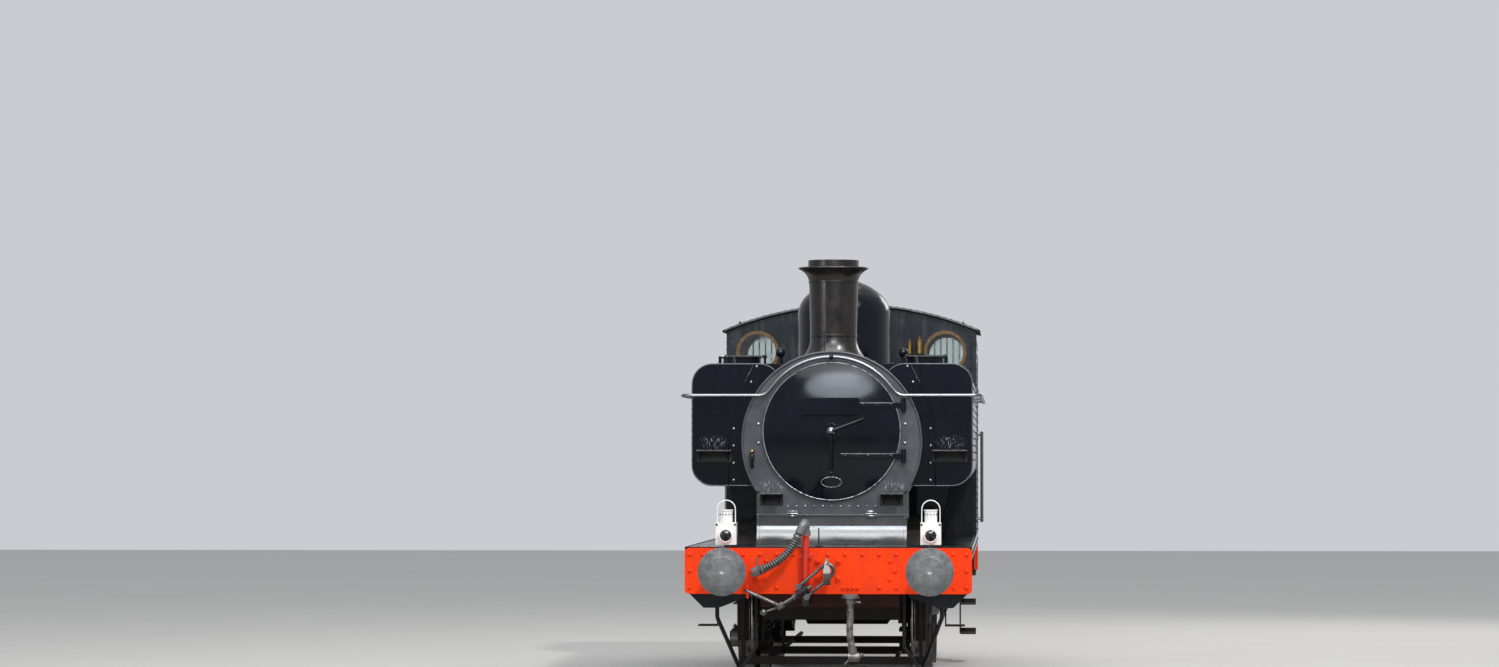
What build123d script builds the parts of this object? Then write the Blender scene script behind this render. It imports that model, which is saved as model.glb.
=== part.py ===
from build123d import *
from math import cos, hypot, pi, radians, sin, sqrt, tan
import os

# An inside-cylinder tank engine with six coupled wheels and pannier tanks, in millimetres.
# X runs across it, Y runs back from the front, Z runs up from the lowest points of the wheel flanges.

os.makedirs("parts", exist_ok=True)


def save(name, part):
    part.label = name
    export_step(part, f"parts/{name}.step")


# Wheels and the rail under them.
tread_diameter = 1410
flange_depth = 28
tyre_width = 140
tyre_thickness = 65
wheel_back_to_back = 1360
spoke_count = 16
axle_diameter = 190
outside_throw = 280
crankpin_diameter = 90
running_gap = 0.1
rail = flange_depth
axle_z = rail + tread_diameter / 2
tread_radius = tread_diameter / 2
flange_radius = tread_radius + flange_depth
wheel_back_x = wheel_back_to_back / 2
wheel_face_x = wheel_back_x + tyre_width

# Places along the engine.
length_over_buffers = 9474
buffer_length = 572
beam_thickness = 32
leading_y = -2565
front_wheelbase = 2210
rear_wheelbase = 2515
driving_y = leading_y + front_wheelbase
trailing_y = driving_y + rear_wheelbase
beam_front_y = -length_over_buffers / 2 + buffer_length
beam_back_y = beam_front_y + beam_thickness
smokebox_front_y = -3325
smokebox_length = 890
smokebox_back_y = smokebox_front_y + smokebox_length
barrel_length = 3124
barrel_back_y = smokebox_back_y + barrel_length
firebox_length = 1626
firebox_back_y = barrel_back_y + firebox_length
tank_front_y = smokebox_front_y + 75
cab_front_y = barrel_back_y + 1161
cab_length = 1480
sheet = 12
cab_back_y = cab_front_y + cab_length

# Heights above the rail, and widths.
beam_width = 2438
beam_depth = 400
plate_top = rail + 1254
plate_thickness = 10
plate_under = plate_top - plate_thickness
beam_bottom = plate_top - beam_depth
beam_corner = 38
buffer_z = rail + 1054
buffer_x = 870
frame_gap = 1188
frame_thickness = 28
frame_in = frame_gap / 2
frame_out = frame_in + frame_thickness
valance_depth = 100

# Main frame plates, with a gap for each axlebox.
horn_gap = 250
horn_leg_width = 130
horn_leg_bottom = 545
frame_bottom = 628
frame_end_bottom = beam_bottom + 40
horn_top = axle_z + 180
keep_thickness = 30
keep_in, keep_out = 570, 660
frame_slope_start, frame_slope_end, frame_slope_drop = 700, 1080, 80
hole_radius = 120
hole_z = axle_z + 217
keep_hole = 25

with BuildPart() as main_frames:
    with BuildSketch(Plane.YZ.offset(frame_in)):
        with BuildLine():
            Polyline(
                (beam_back_y, plate_under),
                (-beam_back_y, plate_under),
                (-beam_back_y, frame_end_bottom),
                (-beam_back_y - frame_slope_start, frame_end_bottom - frame_slope_drop),
                (-beam_back_y - frame_slope_end, frame_bottom),
                (beam_back_y + frame_slope_end, frame_bottom),
                (beam_back_y + frame_slope_start, frame_end_bottom - frame_slope_drop),
                (beam_back_y, frame_end_bottom),
                close=True,
            )
        make_face()
        for axle_y in (leading_y, driving_y, trailing_y):
            leg = horn_gap / 2 + horn_leg_width
            with Locations((axle_y, (horn_leg_bottom + frame_bottom) / 2)):
                Rectangle(2 * leg, frame_bottom - horn_leg_bottom)
            with Locations((axle_y, (horn_leg_bottom + horn_top) / 2)):
                Rectangle(horn_gap, horn_top - horn_leg_bottom, mode=Mode.SUBTRACT)
        for hole_y in ((leading_y + driving_y) / 2, (driving_y + trailing_y) / 2 - 250):
            with Locations((hole_y, hole_z)):
                Circle(hole_radius, mode=Mode.SUBTRACT)
    extrude(amount=frame_thickness)
    for axle_y in (leading_y, driving_y, trailing_y):
        with Locations(((keep_in + keep_out) / 2, axle_y, horn_leg_bottom - keep_thickness / 2)):
            Box(keep_out - keep_in, 2 * leg, keep_thickness)
            Cylinder(keep_hole, keep_thickness, mode=Mode.SUBTRACT)
    mirror(about=Plane.YZ)
save("main_frames", main_frames.part)

# Cross members between the frames, each at its place along Y and its lowest height.
# Two pairs of slide bars run from the cylinders to the second member, the motion plate.
end_stretcher_setback, end_stretcher_z = 373, 760
end_stretcher_y = beam_back_y + end_stretcher_setback
stretcher_thickness = 25
motion_plate_y, motion_plate_z = (leading_y + driving_y) / 2 - 40, 600
firebox_room_front, firebox_front_stretcher_z = 206.5, 640
firebox_room_back, drag_stretcher_z = 305, 680
stretchers = (
    (end_stretcher_y, end_stretcher_z),
    (motion_plate_y, motion_plate_z),
    (barrel_back_y - firebox_room_front, firebox_front_stretcher_z),
    (firebox_back_y + firebox_room_back, drag_stretcher_z),
    (-end_stretcher_y, end_stretcher_z),
)
cylinder_x = 300
cylinder_z = rail + 900
cylinder_back_y = leading_y - 125
slide_bar_width, slide_bar_thickness, slide_bar_gap = 75, 34, 105
window_width, window_share, window_rise = frame_gap - 360, 0.45, 40
motion_hole_width = 190
with BuildPart() as frame_stretchers:
    for stretcher_y, stretcher_z in stretchers:
        middle_z = (stretcher_z + plate_under) / 2
        with Locations((0, stretcher_y, middle_z)):
            Box(frame_gap, stretcher_thickness, plate_under - stretcher_z)
        if stretcher_y != motion_plate_y:
            with Locations((0, stretcher_y, middle_z + window_rise)):
                window_height = (plate_under - stretcher_z) * window_share
                Box(window_width, stretcher_thickness, window_height, mode=Mode.SUBTRACT)
    for side in (-1, 1):
        with Locations((side * cylinder_x, motion_plate_y, cylinder_z)):
            Box(motion_hole_width, stretcher_thickness, slide_bar_gap, mode=Mode.SUBTRACT)
        for up in (-1, 1):
            bar_z = cylinder_z + up * (slide_bar_gap + slide_bar_thickness) / 2
            with Locations((side * cylinder_x, (cylinder_back_y + motion_plate_y) / 2, bar_z)):
                Box(slide_bar_width, motion_plate_y - cylinder_back_y, slide_bar_thickness)
save("frame_stretchers", frame_stretchers.part)

# Buffer beams, with the square hole that the draw hook's shank passes through.
# A bent peg on each beam holds the end of the stowed coupling.
hook_shank = 52
hook_gap = 0.3
coupling_reach = 108
stow_x, stow_z = -655, rail + 870
peg_radius = 10
peg_x = stow_x - 24.2
peg_top, peg_bottom = beam_bottom + 70, beam_bottom - 35
beam_table = (("front_buffer_beam", beam_front_y, -1), ("rear_buffer_beam", -beam_back_y, 1))
for beam_name, beam_y, end in beam_table:
    with BuildPart() as beam:
        with BuildSketch(Plane.XZ.offset(-beam_y)):
            with Locations((0, (beam_bottom + plate_under) / 2)):
                Rectangle(beam_width, plate_under - beam_bottom)
            fillet([v for v in vertices() if v.Z < beam_bottom + 1], beam_corner)
            with Locations((0, buffer_z)):
                Rectangle(hook_shank + 2 * hook_gap, hook_shank + 2 * hook_gap, mode=Mode.SUBTRACT)
        extrude(amount=-beam_thickness)
        with BuildSketch(Plane.XZ.offset(-end * -beam_front_y)):
            with Locations((-end * peg_x, peg_top)):
                Circle(peg_radius)
        extrude(amount=-end * (coupling_reach + peg_radius))
        with BuildSketch(Plane.XY.offset(peg_bottom)):
            with Locations((-end * peg_x, end * (coupling_reach - beam_front_y))):
                Circle(peg_radius)
        extrude(amount=peg_top + peg_radius - peg_bottom)
    save(beam_name, beam.part)

# Running plate over the beams, with slots for the wheels, a well between the frames and deep edges.
splasher_gap = 38
splasher_sheet = 6
splasher_in_radius = flange_radius + splasher_gap
splasher_out_radius = splasher_in_radius + splasher_sheet
splasher_in_x = 650
splasher_out_x = wheel_face_x + 14
slot_half = sqrt(splasher_in_radius**2 - (plate_under - axle_z) ** 2)
well_front_y, well_back_y = smokebox_back_y + 30, firebox_back_y + 5
well_half = frame_in
with BuildPart() as running_plate:
    with BuildSketch(Plane.XY.offset(plate_under)):
        Rectangle(beam_width, -2 * beam_front_y)
        for axle_y in (leading_y, driving_y, trailing_y):
            with Locations(*[(side * (splasher_in_x + splasher_out_x) / 2, axle_y) for side in (-1, 1)]):
                Rectangle(splasher_out_x - splasher_in_x, 2 * slot_half, mode=Mode.SUBTRACT)
        with Locations((0, (well_front_y + well_back_y) / 2)):
            Rectangle(2 * well_half, well_back_y - well_front_y, mode=Mode.SUBTRACT)
    extrude(amount=plate_thickness)
    for side in (-1, 1):
        with Locations((side * (beam_width - sheet) / 2, 0, plate_under - valance_depth / 2)):
            Box(sheet, -2 * beam_back_y, valance_depth)
save("running_plate", running_plate.part)

# Splashers: an arched sheet over each wheel with a closed outer side.
with BuildPart() as splashers:
    for axle_y in (leading_y, driving_y, trailing_y):
        with BuildSketch(Plane.YZ.offset(splasher_in_x)):
            with Locations((axle_y, axle_z)):
                Circle(splasher_out_radius)
                Circle(splasher_in_radius, mode=Mode.SUBTRACT)
            with Locations((axle_y, plate_top - 1000)):
                Rectangle(2 * splasher_out_radius, 2000, mode=Mode.SUBTRACT)
        extrude(amount=splasher_out_x - splasher_in_x)
        with BuildSketch(Plane.YZ.offset(splasher_out_x)):
            with Locations((axle_y, axle_z)):
                Circle(splasher_out_radius)
            with Locations((axle_y, plate_top - 1000)):
                Rectangle(2 * splasher_out_radius, 2000, mode=Mode.SUBTRACT)
        extrude(amount=splasher_sheet)
    mirror(about=Plane.YZ)
save("splashers", splashers.part)

# Boiler, smokebox and firebox share one centre line.
boiler_z = rail + 2150
smokebox_radius = 787
smokebox_wall = 16
saddle_half = 650
saddle_top = rail + 1520
door_z = rail + 2238
door_radius = 595
door_opening_radius = 560
barrel_radius = 720
chimney_y = smokebox_front_y + 455
chimney_bore = 175

with BuildPart() as smokebox:
    with BuildSketch(Plane.XZ.offset(-smokebox_front_y)):
        with Locations((0, boiler_z)):
            Circle(smokebox_radius)
        with Locations((0, (saddle_top + boiler_z) / 2)):
            Rectangle(2 * saddle_half, boiler_z - saddle_top)
        with Locations((0, saddle_top - 500)):
            Rectangle(3 * smokebox_radius, 1000, mode=Mode.SUBTRACT)
    extrude(amount=-smokebox_length)
    with BuildSketch(Plane.XZ.offset(-smokebox_front_y - smokebox_wall)):
        with Locations((0, boiler_z)):
            Circle(smokebox_radius - smokebox_wall)
        with Locations((0, (saddle_top + boiler_z) / 2)):
            Rectangle(2 * (saddle_half - smokebox_wall), boiler_z - saddle_top)
        with Locations((0, saddle_top + smokebox_wall - 500)):
            Rectangle(3 * smokebox_radius, 1000, mode=Mode.SUBTRACT)
    extrude(amount=-(smokebox_length - 2 * smokebox_wall), mode=Mode.SUBTRACT)
    with BuildSketch(Plane.XZ.offset(-smokebox_front_y)):
        with Locations((0, door_z)):
            Circle(door_opening_radius)
    extrude(amount=-smokebox_wall, mode=Mode.SUBTRACT)
    with BuildSketch(Plane.XY.offset(boiler_z + smokebox_radius / 2)):
        with Locations((0, chimney_y)):
            Circle(chimney_bore)
    extrude(amount=smokebox_radius, mode=Mode.SUBTRACT)
save("smokebox", smokebox.part)

# Saddle under the smokebox, sweeping forward to the running plate between two raised side flanges.
apron_reach = 190
apron_top = rail + 1420
apron_flange_width, apron_flange_height = 25, 12
ledge_thickness, ledge_reach = 14, 16
apron_radius = 0.77 * hypot(apron_reach, apron_top - plate_top)
with BuildPart() as smokebox_saddle:
    for half, sunk in ((saddle_half, 0), (saddle_half - apron_flange_width, apron_flange_height)):
        with BuildSketch(Plane.YZ.offset(-half)):
            with BuildLine():
                apron_foot_y = smokebox_front_y - apron_reach
                Line((smokebox_front_y, saddle_top), (smokebox_front_y, apron_top))
                RadiusArc((smokebox_front_y, apron_top), (apron_foot_y, plate_top), apron_radius)
                if sunk == 0:
                    Polyline(
                        (apron_foot_y, plate_top),
                        (smokebox_back_y, plate_top),
                        (smokebox_back_y, saddle_top),
                        (smokebox_front_y, saddle_top),
                    )
                else:
                    Line((apron_foot_y, plate_top), (apron_foot_y + sunk, plate_top))
                    RadiusArc(
                        (smokebox_front_y + sunk, apron_top),
                        (apron_foot_y + sunk, plate_top),
                        apron_radius,
                    )
                    Polyline(
                        (smokebox_front_y + sunk, apron_top),
                        (smokebox_front_y + sunk, saddle_top),
                        (smokebox_front_y, saddle_top),
                    )
            make_face()
        extrude(amount=2 * half, mode=Mode.ADD if sunk == 0 else Mode.SUBTRACT)
    with Locations((0, smokebox_front_y + (sheet - ledge_reach) / 2, saddle_top - ledge_thickness / 2)):
        Box(2 * saddle_half, sheet + ledge_reach, ledge_thickness)
save("smokebox_saddle", smokebox_saddle.part)

# Cylinder block between the frames, with a cover on each cylinder.
cover_room = 327.5
cylinder_front_y = end_stretcher_y + stretcher_thickness / 2 + cover_room
cover_radius, cover_depth = 260, 40
cover_shift_x, cover_shift_z = 10, 20
gland_radius, gland_length = 48, 70
cylinder_bottom = cylinder_z - 290
with BuildPart() as cylinder_block:
    with Locations((0, (cylinder_front_y + cylinder_back_y) / 2, (cylinder_bottom + plate_under) / 2)):
        Box(frame_gap, cylinder_back_y - cylinder_front_y, plate_under - cylinder_bottom)
    with BuildSketch(Plane.XZ.offset(-cylinder_front_y)):
        for side in (-1, 1):
            with Locations((side * (cylinder_x - cover_shift_x), cylinder_z - cover_shift_z)):
                Circle(cover_radius)
    extrude(amount=cover_depth)
    with BuildSketch(Plane.XZ.offset(-cylinder_back_y)):
        with Locations((-cylinder_x, cylinder_z), (cylinder_x, cylinder_z)):
            Circle(gland_radius)
    extrude(amount=-gland_length)
save("cylinder_block", cylinder_block.part)

band_width, band_thickness = 55, 4
with BuildPart() as boiler:
    with BuildSketch(Plane.XZ.offset(-smokebox_back_y)):
        with Locations((0, boiler_z)):
            Circle(barrel_radius)
    extrude(amount=-barrel_length)
    for band_y in [smokebox_back_y + 30 + place * (barrel_length - 60) / 4 for place in range(5)]:
        with Locations(Location((0, band_y, boiler_z), (90, 0, 0))):
            Cylinder(barrel_radius + band_thickness, band_width)
save("boiler", boiler.part)

# Firebox, flat-topped and wider than the barrel, drawn in between the frames below.
firebox_half = 745
firebox_foot_half = 560
firebox_top = boiler_z + 745
firebox_bottom = rail + 900
firebox_shoulder = 220
firebox_waist_low, firebox_waist_high = rail + 1480, rail + 1980
with BuildPart() as firebox:
    with BuildSketch(Plane.XZ.offset(-barrel_back_y)):
        with BuildLine():
            Polyline(
                (-firebox_foot_half, firebox_bottom),
                (firebox_foot_half, firebox_bottom),
                (firebox_foot_half, firebox_waist_low),
                (firebox_half, firebox_waist_high),
                (firebox_half, firebox_top),
                (-firebox_half, firebox_top),
                (-firebox_half, firebox_waist_high),
                (-firebox_foot_half, firebox_waist_low),
                close=True,
            )
        make_face()
        fillet([v for v in vertices() if v.Z > firebox_top - 1], firebox_shoulder)
    extrude(amount=-firebox_length)
save("firebox", firebox.part)

ashpan_bottom = rail + 430
ashpan_front_y, ashpan_back_y = barrel_back_y + 30, trailing_y - 200
with BuildPart() as ashpan:
    with BuildSketch(Plane.XZ.offset(-ashpan_front_y)):
        with BuildLine():
            Polyline(
                (-firebox_foot_half + 20, firebox_bottom),
                (firebox_foot_half - 20, firebox_bottom),
                (firebox_foot_half - 20, firebox_bottom - 150),
                (380, ashpan_bottom),
                (-380, ashpan_bottom),
                (-firebox_foot_half + 20, firebox_bottom - 150),
                close=True,
            )
        make_face()
    extrude(amount=-(ashpan_back_y - ashpan_front_y))
save("ashpan", ashpan.part)

# Chimney: a tapered barrel between two beads, a trumpet up to the thin lip, and a ring on top.
chimney_top = rail + 3739
chimney_neck = 214
chimney_waist = 204
chimney_lip = 308
chimney_ring = 222
chimney_foot = 330
ring_height, lip_thickness = 62, 16
lip_top = chimney_top - ring_height
trumpet_foot = lip_top - lip_thickness - 112
chimney_low = boiler_z + smokebox_radius + 120
foot_bottom = boiler_z + 700
bead_reach, bead_half = 6, 9
with BuildPart() as chimney:
    with BuildSketch(Plane.XZ.offset(-chimney_y)):
        with BuildLine():
            Polyline((chimney_bore, foot_bottom), (chimney_bore, chimney_top), (chimney_ring, chimney_top))
            Polyline((chimney_ring, chimney_top), (chimney_ring, lip_top), (chimney_lip - 8, lip_top))
            ThreePointArc(
                (chimney_lip - 8, lip_top),
                (chimney_lip, lip_top - lip_thickness / 2),
                (chimney_lip - 8, lip_top - lip_thickness),
            )
            ThreePointArc(
                (chimney_lip - 8, lip_top - lip_thickness),
                (chimney_neck + 28, lip_top - lip_thickness - 46),
                (chimney_neck, trumpet_foot),
            )
            Line((chimney_neck, trumpet_foot), (chimney_waist, chimney_low))
            RadiusArc((chimney_waist, chimney_low), (chimney_foot, foot_bottom), -240)
            Line((chimney_foot, foot_bottom), (chimney_bore, foot_bottom))
        make_face()
        for bead_z, bead_x in ((trumpet_foot, chimney_neck), (chimney_low + 20, chimney_waist)):
            with Locations((bead_x, bead_z)):
                Rectangle(2 * bead_reach, 2 * bead_half)
    revolve(axis=Axis((0, chimney_y, 0), (0, 0, 1)))
    with BuildSketch(Plane.XZ.offset(-chimney_y + chimney_foot + 50)):
        with Locations((0, boiler_z)):
            Circle(smokebox_radius)
    extrude(amount=-2 * (chimney_foot + 50), mode=Mode.SUBTRACT)
save("chimney", chimney.part)

# Dome and safety valve bonnet.
dome_y = smokebox_back_y + 2255
dome_radius = 430
dome_top = rail + 3670
dome_shoulder_z = dome_top - 330
dome_foot = boiler_z + 500
with BuildPart() as dome:
    with BuildSketch(Plane.XZ.offset(-dome_y)):
        with BuildLine():
            Line((0, dome_foot), (0, dome_top))
            ThreePointArc((0, dome_top), (190, dome_top - 38), (330, dome_top - 128))
            ThreePointArc((330, dome_top - 128), (406, dome_top - 222), (dome_radius, dome_shoulder_z))
            Line((dome_radius, dome_shoulder_z), (dome_radius, dome_foot))
            Line((dome_radius, dome_foot), (0, dome_foot))
        make_face()
    revolve(axis=Axis((0, dome_y, 0), (0, 0, 1)))
    with BuildSketch(Plane.XZ.offset(-dome_y + dome_radius + 50)):
        with Locations((0, boiler_z)):
            Circle(barrel_radius + band_thickness)
    extrude(amount=-2 * (dome_radius + 50), mode=Mode.SUBTRACT)
save("dome", dome.part)

valve_y = barrel_back_y + 561
valve_top = rail + 3330
bonnet_top_radius, bonnet_bead_radius, bonnet_foot_radius = 120, 135, 230
bonnet_bead_drop, bonnet_neck_drop = 40, 150
with BuildPart() as safety_valve:
    with BuildSketch(Plane.XZ.offset(-valve_y)):
        with BuildLine():
            Polyline((0, firebox_top), (0, valve_top), (bonnet_top_radius, valve_top))
            Polyline(
                (bonnet_top_radius, valve_top),
                (bonnet_bead_radius, valve_top - bonnet_bead_drop),
                (bonnet_top_radius, valve_top - bonnet_neck_drop),
            )
            bonnet_neck = (bonnet_top_radius, valve_top - bonnet_neck_drop)
            RadiusArc(bonnet_neck, (bonnet_foot_radius, firebox_top), -420)
            Line((bonnet_foot_radius, firebox_top), (0, firebox_top))
        make_face()
    revolve(axis=Axis((0, valve_y, 0), (0, 0, 1)))
save("safety_valve", safety_valve.part)

# Pannier tanks: flat outer sides and top, the inner side following the smokebox, firebox and dome.
tank_half = 1220
tank_top = rail + 2828
tank_bottom = rail + 1764
tank_top_corner = 180
tank_bottom_corner = 200
tank_gap = 4
tank_inner_x = 448
filler_x, filler_y = 800, tank_front_y + 300
filler_radius = 165
filler_height = 50
filler_wall = 12
filler_depth = 250
lid_gap = 0.3
lid_thickness = 15
lid_radius = filler_radius + 12
lid_hinge_x = filler_x + lid_radius + 14
lid_z = tank_top + filler_height + lid_gap
lid_pin_z = lid_z + lid_thickness / 2
lid_pin_radius = 5
tongue_width, ear_thickness, ear_play = 80, 12, 1
ear_reach = 11
vent_x, vent_y, vent_radius = 567, smokebox_back_y + 1670, 45
bracket_in_x, bracket_out_x, bracket_thickness = 700, 1000, 14
bracket_places = ((leading_y + driving_y) / 2, (driving_y + trailing_y) / 2)
hand_rod_radius, hand_rod_half, hand_rod_z = 11, 171, tank_top + 80
hand_rod_y = tank_front_y + 900
with BuildPart() as pannier_tanks:
    with BuildSketch(Plane.XZ.offset(-tank_front_y)):
        with Locations(((tank_inner_x + tank_half) / 2, (tank_top + tank_bottom) / 2)):
            Rectangle(tank_half - tank_inner_x, tank_top - tank_bottom)
        fillet([v for v in vertices() if v.X > tank_half - 1 and v.Z > tank_top - 1], tank_top_corner)
        fillet([v for v in vertices() if v.X > tank_half - 1 and v.Z < tank_bottom + 1], tank_bottom_corner)
        with Locations((0, boiler_z)):
            Circle(smokebox_radius + tank_gap, mode=Mode.SUBTRACT)
    extrude(amount=-(cab_front_y - tank_front_y))
    with BuildSketch(Plane.XZ.offset(-barrel_back_y + 20)):
        with Locations((0, (firebox_top + tank_bottom - 50) / 2)):
            Rectangle(2 * (firebox_half + 15), firebox_top - tank_bottom + 50)
    extrude(amount=-(cab_front_y - barrel_back_y + 40), mode=Mode.SUBTRACT)
    with BuildSketch(Plane.XY.offset(tank_top)):
        with Locations((filler_x, filler_y)):
            Circle(filler_radius)
    extrude(amount=filler_height)
    with BuildSketch(Plane.XY.offset(tank_top + filler_height)):
        with Locations((filler_x, filler_y)):
            Circle(filler_radius - filler_wall)
    extrude(amount=-filler_height - filler_depth, mode=Mode.SUBTRACT)
    with Locations((vent_x, vent_y, tank_top + 60)):
        Cylinder(vent_radius / 2, 120)
    with Locations((vent_x, vent_y, tank_top + 150)):
        Sphere(vent_radius)
    for end in (-1, 1):
        with Locations((filler_x + end * hand_rod_half, hand_rod_y, (tank_top + hand_rod_z) / 2)):
            Cylinder(hand_rod_radius, hand_rod_z - tank_top)
        with Locations((filler_x + end * hand_rod_half, hand_rod_y, hand_rod_z)):
            Sphere(1.8 * hand_rod_radius)
    with Locations(Location((filler_x, hand_rod_y, hand_rod_z), (0, 90, 0))):
        Cylinder(hand_rod_radius, 2 * hand_rod_half)
    for bracket_y in bracket_places:
        with BuildSketch(Plane.XZ.offset(-bracket_y + bracket_thickness / 2)):
            with BuildLine():
                Polyline(
                    (bracket_in_x, plate_top),
                    (bracket_in_x + 180, plate_top),
                    (bracket_out_x, tank_bottom),
                    (bracket_in_x, tank_bottom),
                    close=True,
                )
            make_face()
            with Locations((bracket_in_x + 110, (plate_top + tank_bottom) / 2)):
                Circle(60, mode=Mode.SUBTRACT)
        extrude(amount=-bracket_thickness)
    mirror(about=Plane.YZ)
save("pannier_tanks", pannier_tanks.part)

# Filler lids, hinged on their outer side.
with BuildPart() as lid_hinges:
    for side in (-1, 1):
        for ear in (-1, 1):
            ear_y = filler_y + ear * (tongue_width / 2 + ear_play + ear_thickness / 2)
            with Locations((side * lid_hinge_x, ear_y, (tank_top + lid_pin_z + ear_reach) / 2)):
                Box(2 * ear_reach, ear_thickness, lid_pin_z + ear_reach - tank_top)
        with Locations(Location((side * lid_hinge_x, filler_y, lid_pin_z), (90, 0, 0))):
            Cylinder(lid_pin_radius, tongue_width + 2 * (ear_play + ear_thickness))
save("lid_hinges", lid_hinges.part)

for lid_name, side in (("filler_lid_left", 1), ("filler_lid_right", -1)):
    with BuildPart() as lid:
        with BuildSketch(Plane.XY.offset(lid_z)):
            with Locations((side * filler_x, filler_y)):
                Circle(lid_radius)
            with Locations((side * (filler_x + lid_hinge_x) / 2, filler_y)):
                Rectangle(lid_hinge_x - filler_x, tongue_width)
        extrude(amount=lid_thickness)
        with Locations(Location((side * lid_hinge_x, filler_y, lid_pin_z), (90, 0, 0))):
            Cylinder(lid_thickness / 2, tongue_width)
            Cylinder(lid_pin_radius + running_gap, tongue_width, mode=Mode.SUBTRACT)
    save(lid_name, lid.part)

# Cab: front, side and rear sheets under a curved roof.
roof_top = rail + 3506
roof_radius = 3200
roof_half = 1257
roof_thickness = 12
roof_overhang = 60
rain_strip_x = 1090
roof_band = 5
cab_half = beam_width / 2
spectacle_x, spectacle_z, spectacle_hole = 915, rail + 3042, 185
roof_centre_z = roof_top - roof_radius
under_roof = roof_radius - roof_thickness

with BuildPart() as cab_front_sheet:
    with BuildSketch(Plane.XZ.offset(-cab_front_y)):
        with Locations((0, roof_centre_z)):
            Circle(under_roof)
        with Locations((0, (plate_top + roof_top) / 2)):
            Rectangle(2 * cab_half, roof_top - plate_top, mode=Mode.INTERSECT)
        with Locations((-spectacle_x, spectacle_z), (spectacle_x, spectacle_z)):
            Circle(spectacle_hole, mode=Mode.SUBTRACT)
    extrude(amount=-sheet)
    with BuildSketch(Plane.XZ.offset(-cab_front_y)):
        with BuildLine():
            Polyline(
                (-firebox_foot_half - 2, plate_top),
                (firebox_foot_half + 2, plate_top),
                (firebox_foot_half + 2, firebox_waist_low),
                (firebox_half + 2, firebox_waist_high),
                (firebox_half + 2, firebox_top + 2),
                (-firebox_half - 2, firebox_top + 2),
                (-firebox_half - 2, firebox_waist_high),
                (-firebox_foot_half - 2, firebox_waist_low),
                close=True,
            )
        make_face()
        fillet([v for v in vertices() if v.Z > firebox_top - 1], firebox_shoulder)
        for side in (-1, 1):
            with Locations((side * (splasher_in_x + splasher_out_x + splasher_sheet) / 2, plate_top)):
                Rectangle(splasher_out_x + splasher_sheet - splasher_in_x + 4, 2 * 180)
    extrude(amount=-sheet, mode=Mode.SUBTRACT)
save("cab_front_sheet", cab_front_sheet.part)

# Cab sides with the doorway and the open upper part.
doorway_back_y = cab_back_y - 160
doorway_front_y = doorway_back_y - 530
opening_front_y = doorway_front_y - 310
opening_corner = 150
waist_z = rail + 2330
opening_top = rail + 3040
with BuildPart() as cab_side_sheets:
    with BuildSketch(Plane.YZ.offset(cab_half - sheet)):
        with Locations(((cab_front_y + sheet + cab_back_y) / 2, (plate_top + roof_top) / 2)):
            Rectangle(cab_back_y - cab_front_y - sheet, roof_top - plate_top)
        with Locations(((doorway_front_y + doorway_back_y) / 2, (plate_top + waist_z) / 2)):
            Rectangle(doorway_back_y - doorway_front_y, waist_z - plate_top + 10, mode=Mode.SUBTRACT)
        with Locations(((opening_front_y + doorway_back_y) / 2, (waist_z + opening_top) / 2)):
            RectangleRounded(
                doorway_back_y - opening_front_y, opening_top - waist_z, opening_corner, mode=Mode.SUBTRACT
            )
        with Locations((doorway_back_y - opening_corner / 2, waist_z + opening_corner / 2)):
            Rectangle(opening_corner, opening_corner, mode=Mode.SUBTRACT)
    extrude(amount=sheet)
    mirror(about=Plane.YZ)
    with BuildSketch(Plane.XZ.offset(-cab_front_y)):
        with Locations((0, roof_centre_z)):
            Circle(under_roof)
    extrude(amount=-cab_length - 10, mode=Mode.INTERSECT)
save("cab_side_sheets", cab_side_sheets.part)

shovel_half, shovel_height = 240, 500
with BuildPart() as cab_rear_sheet:
    with BuildSketch(Plane.XZ.offset(-cab_back_y + sheet)):
        with Locations((0, roof_centre_z)):
            Circle(under_roof)
        with Locations((0, (plate_top + roof_top) / 2)):
            Rectangle(2 * (cab_half - sheet), roof_top - plate_top, mode=Mode.INTERSECT)
        with Locations((-spectacle_x, spectacle_z), (spectacle_x, spectacle_z)):
            Circle(spectacle_hole, mode=Mode.SUBTRACT)
        with Locations((0, plate_top + shovel_height / 2 + 40)):
            Rectangle(2 * shovel_half, shovel_height, mode=Mode.SUBTRACT)
    extrude(amount=-sheet)
save("cab_rear_sheet", cab_rear_sheet.part)

with BuildPart() as cab_roof:
    with BuildSketch(Plane.XZ.offset(-cab_front_y + roof_overhang)):
        with Locations((0, roof_centre_z)):
            Circle(roof_radius)
            Circle(under_roof, mode=Mode.SUBTRACT)
        with Locations((0, roof_top)):
            Rectangle(2 * roof_half, 2 * (roof_top - plate_top), mode=Mode.INTERSECT)
    extrude(amount=-(cab_length + 2 * roof_overhang))
    with BuildSketch(Plane.XZ.offset(-cab_front_y + roof_overhang)):
        for side in (-1, 1):
            strip_z = roof_centre_z + sqrt(roof_radius**2 - rain_strip_x**2) + 9
            with Locations((side * rain_strip_x, strip_z)):
                Rectangle(8, 36)
    extrude(amount=-(cab_length + 2 * roof_overhang))
    for place in range(3):
        band_step = place * (cab_length + 2 * roof_overhang - 40) / 2
        with BuildSketch(Plane.XZ.offset(-cab_front_y + roof_overhang - band_step)):
            with Locations((0, roof_centre_z)):
                Circle(roof_radius + roof_band)
                Circle(roof_radius - roof_thickness / 2, mode=Mode.SUBTRACT)
            with Locations((0, roof_top)):
                Rectangle(2 * roof_half, 2 * (roof_top - plate_top), mode=Mode.INTERSECT)
        extrude(amount=-40)
save("cab_roof", cab_roof.part)

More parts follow.
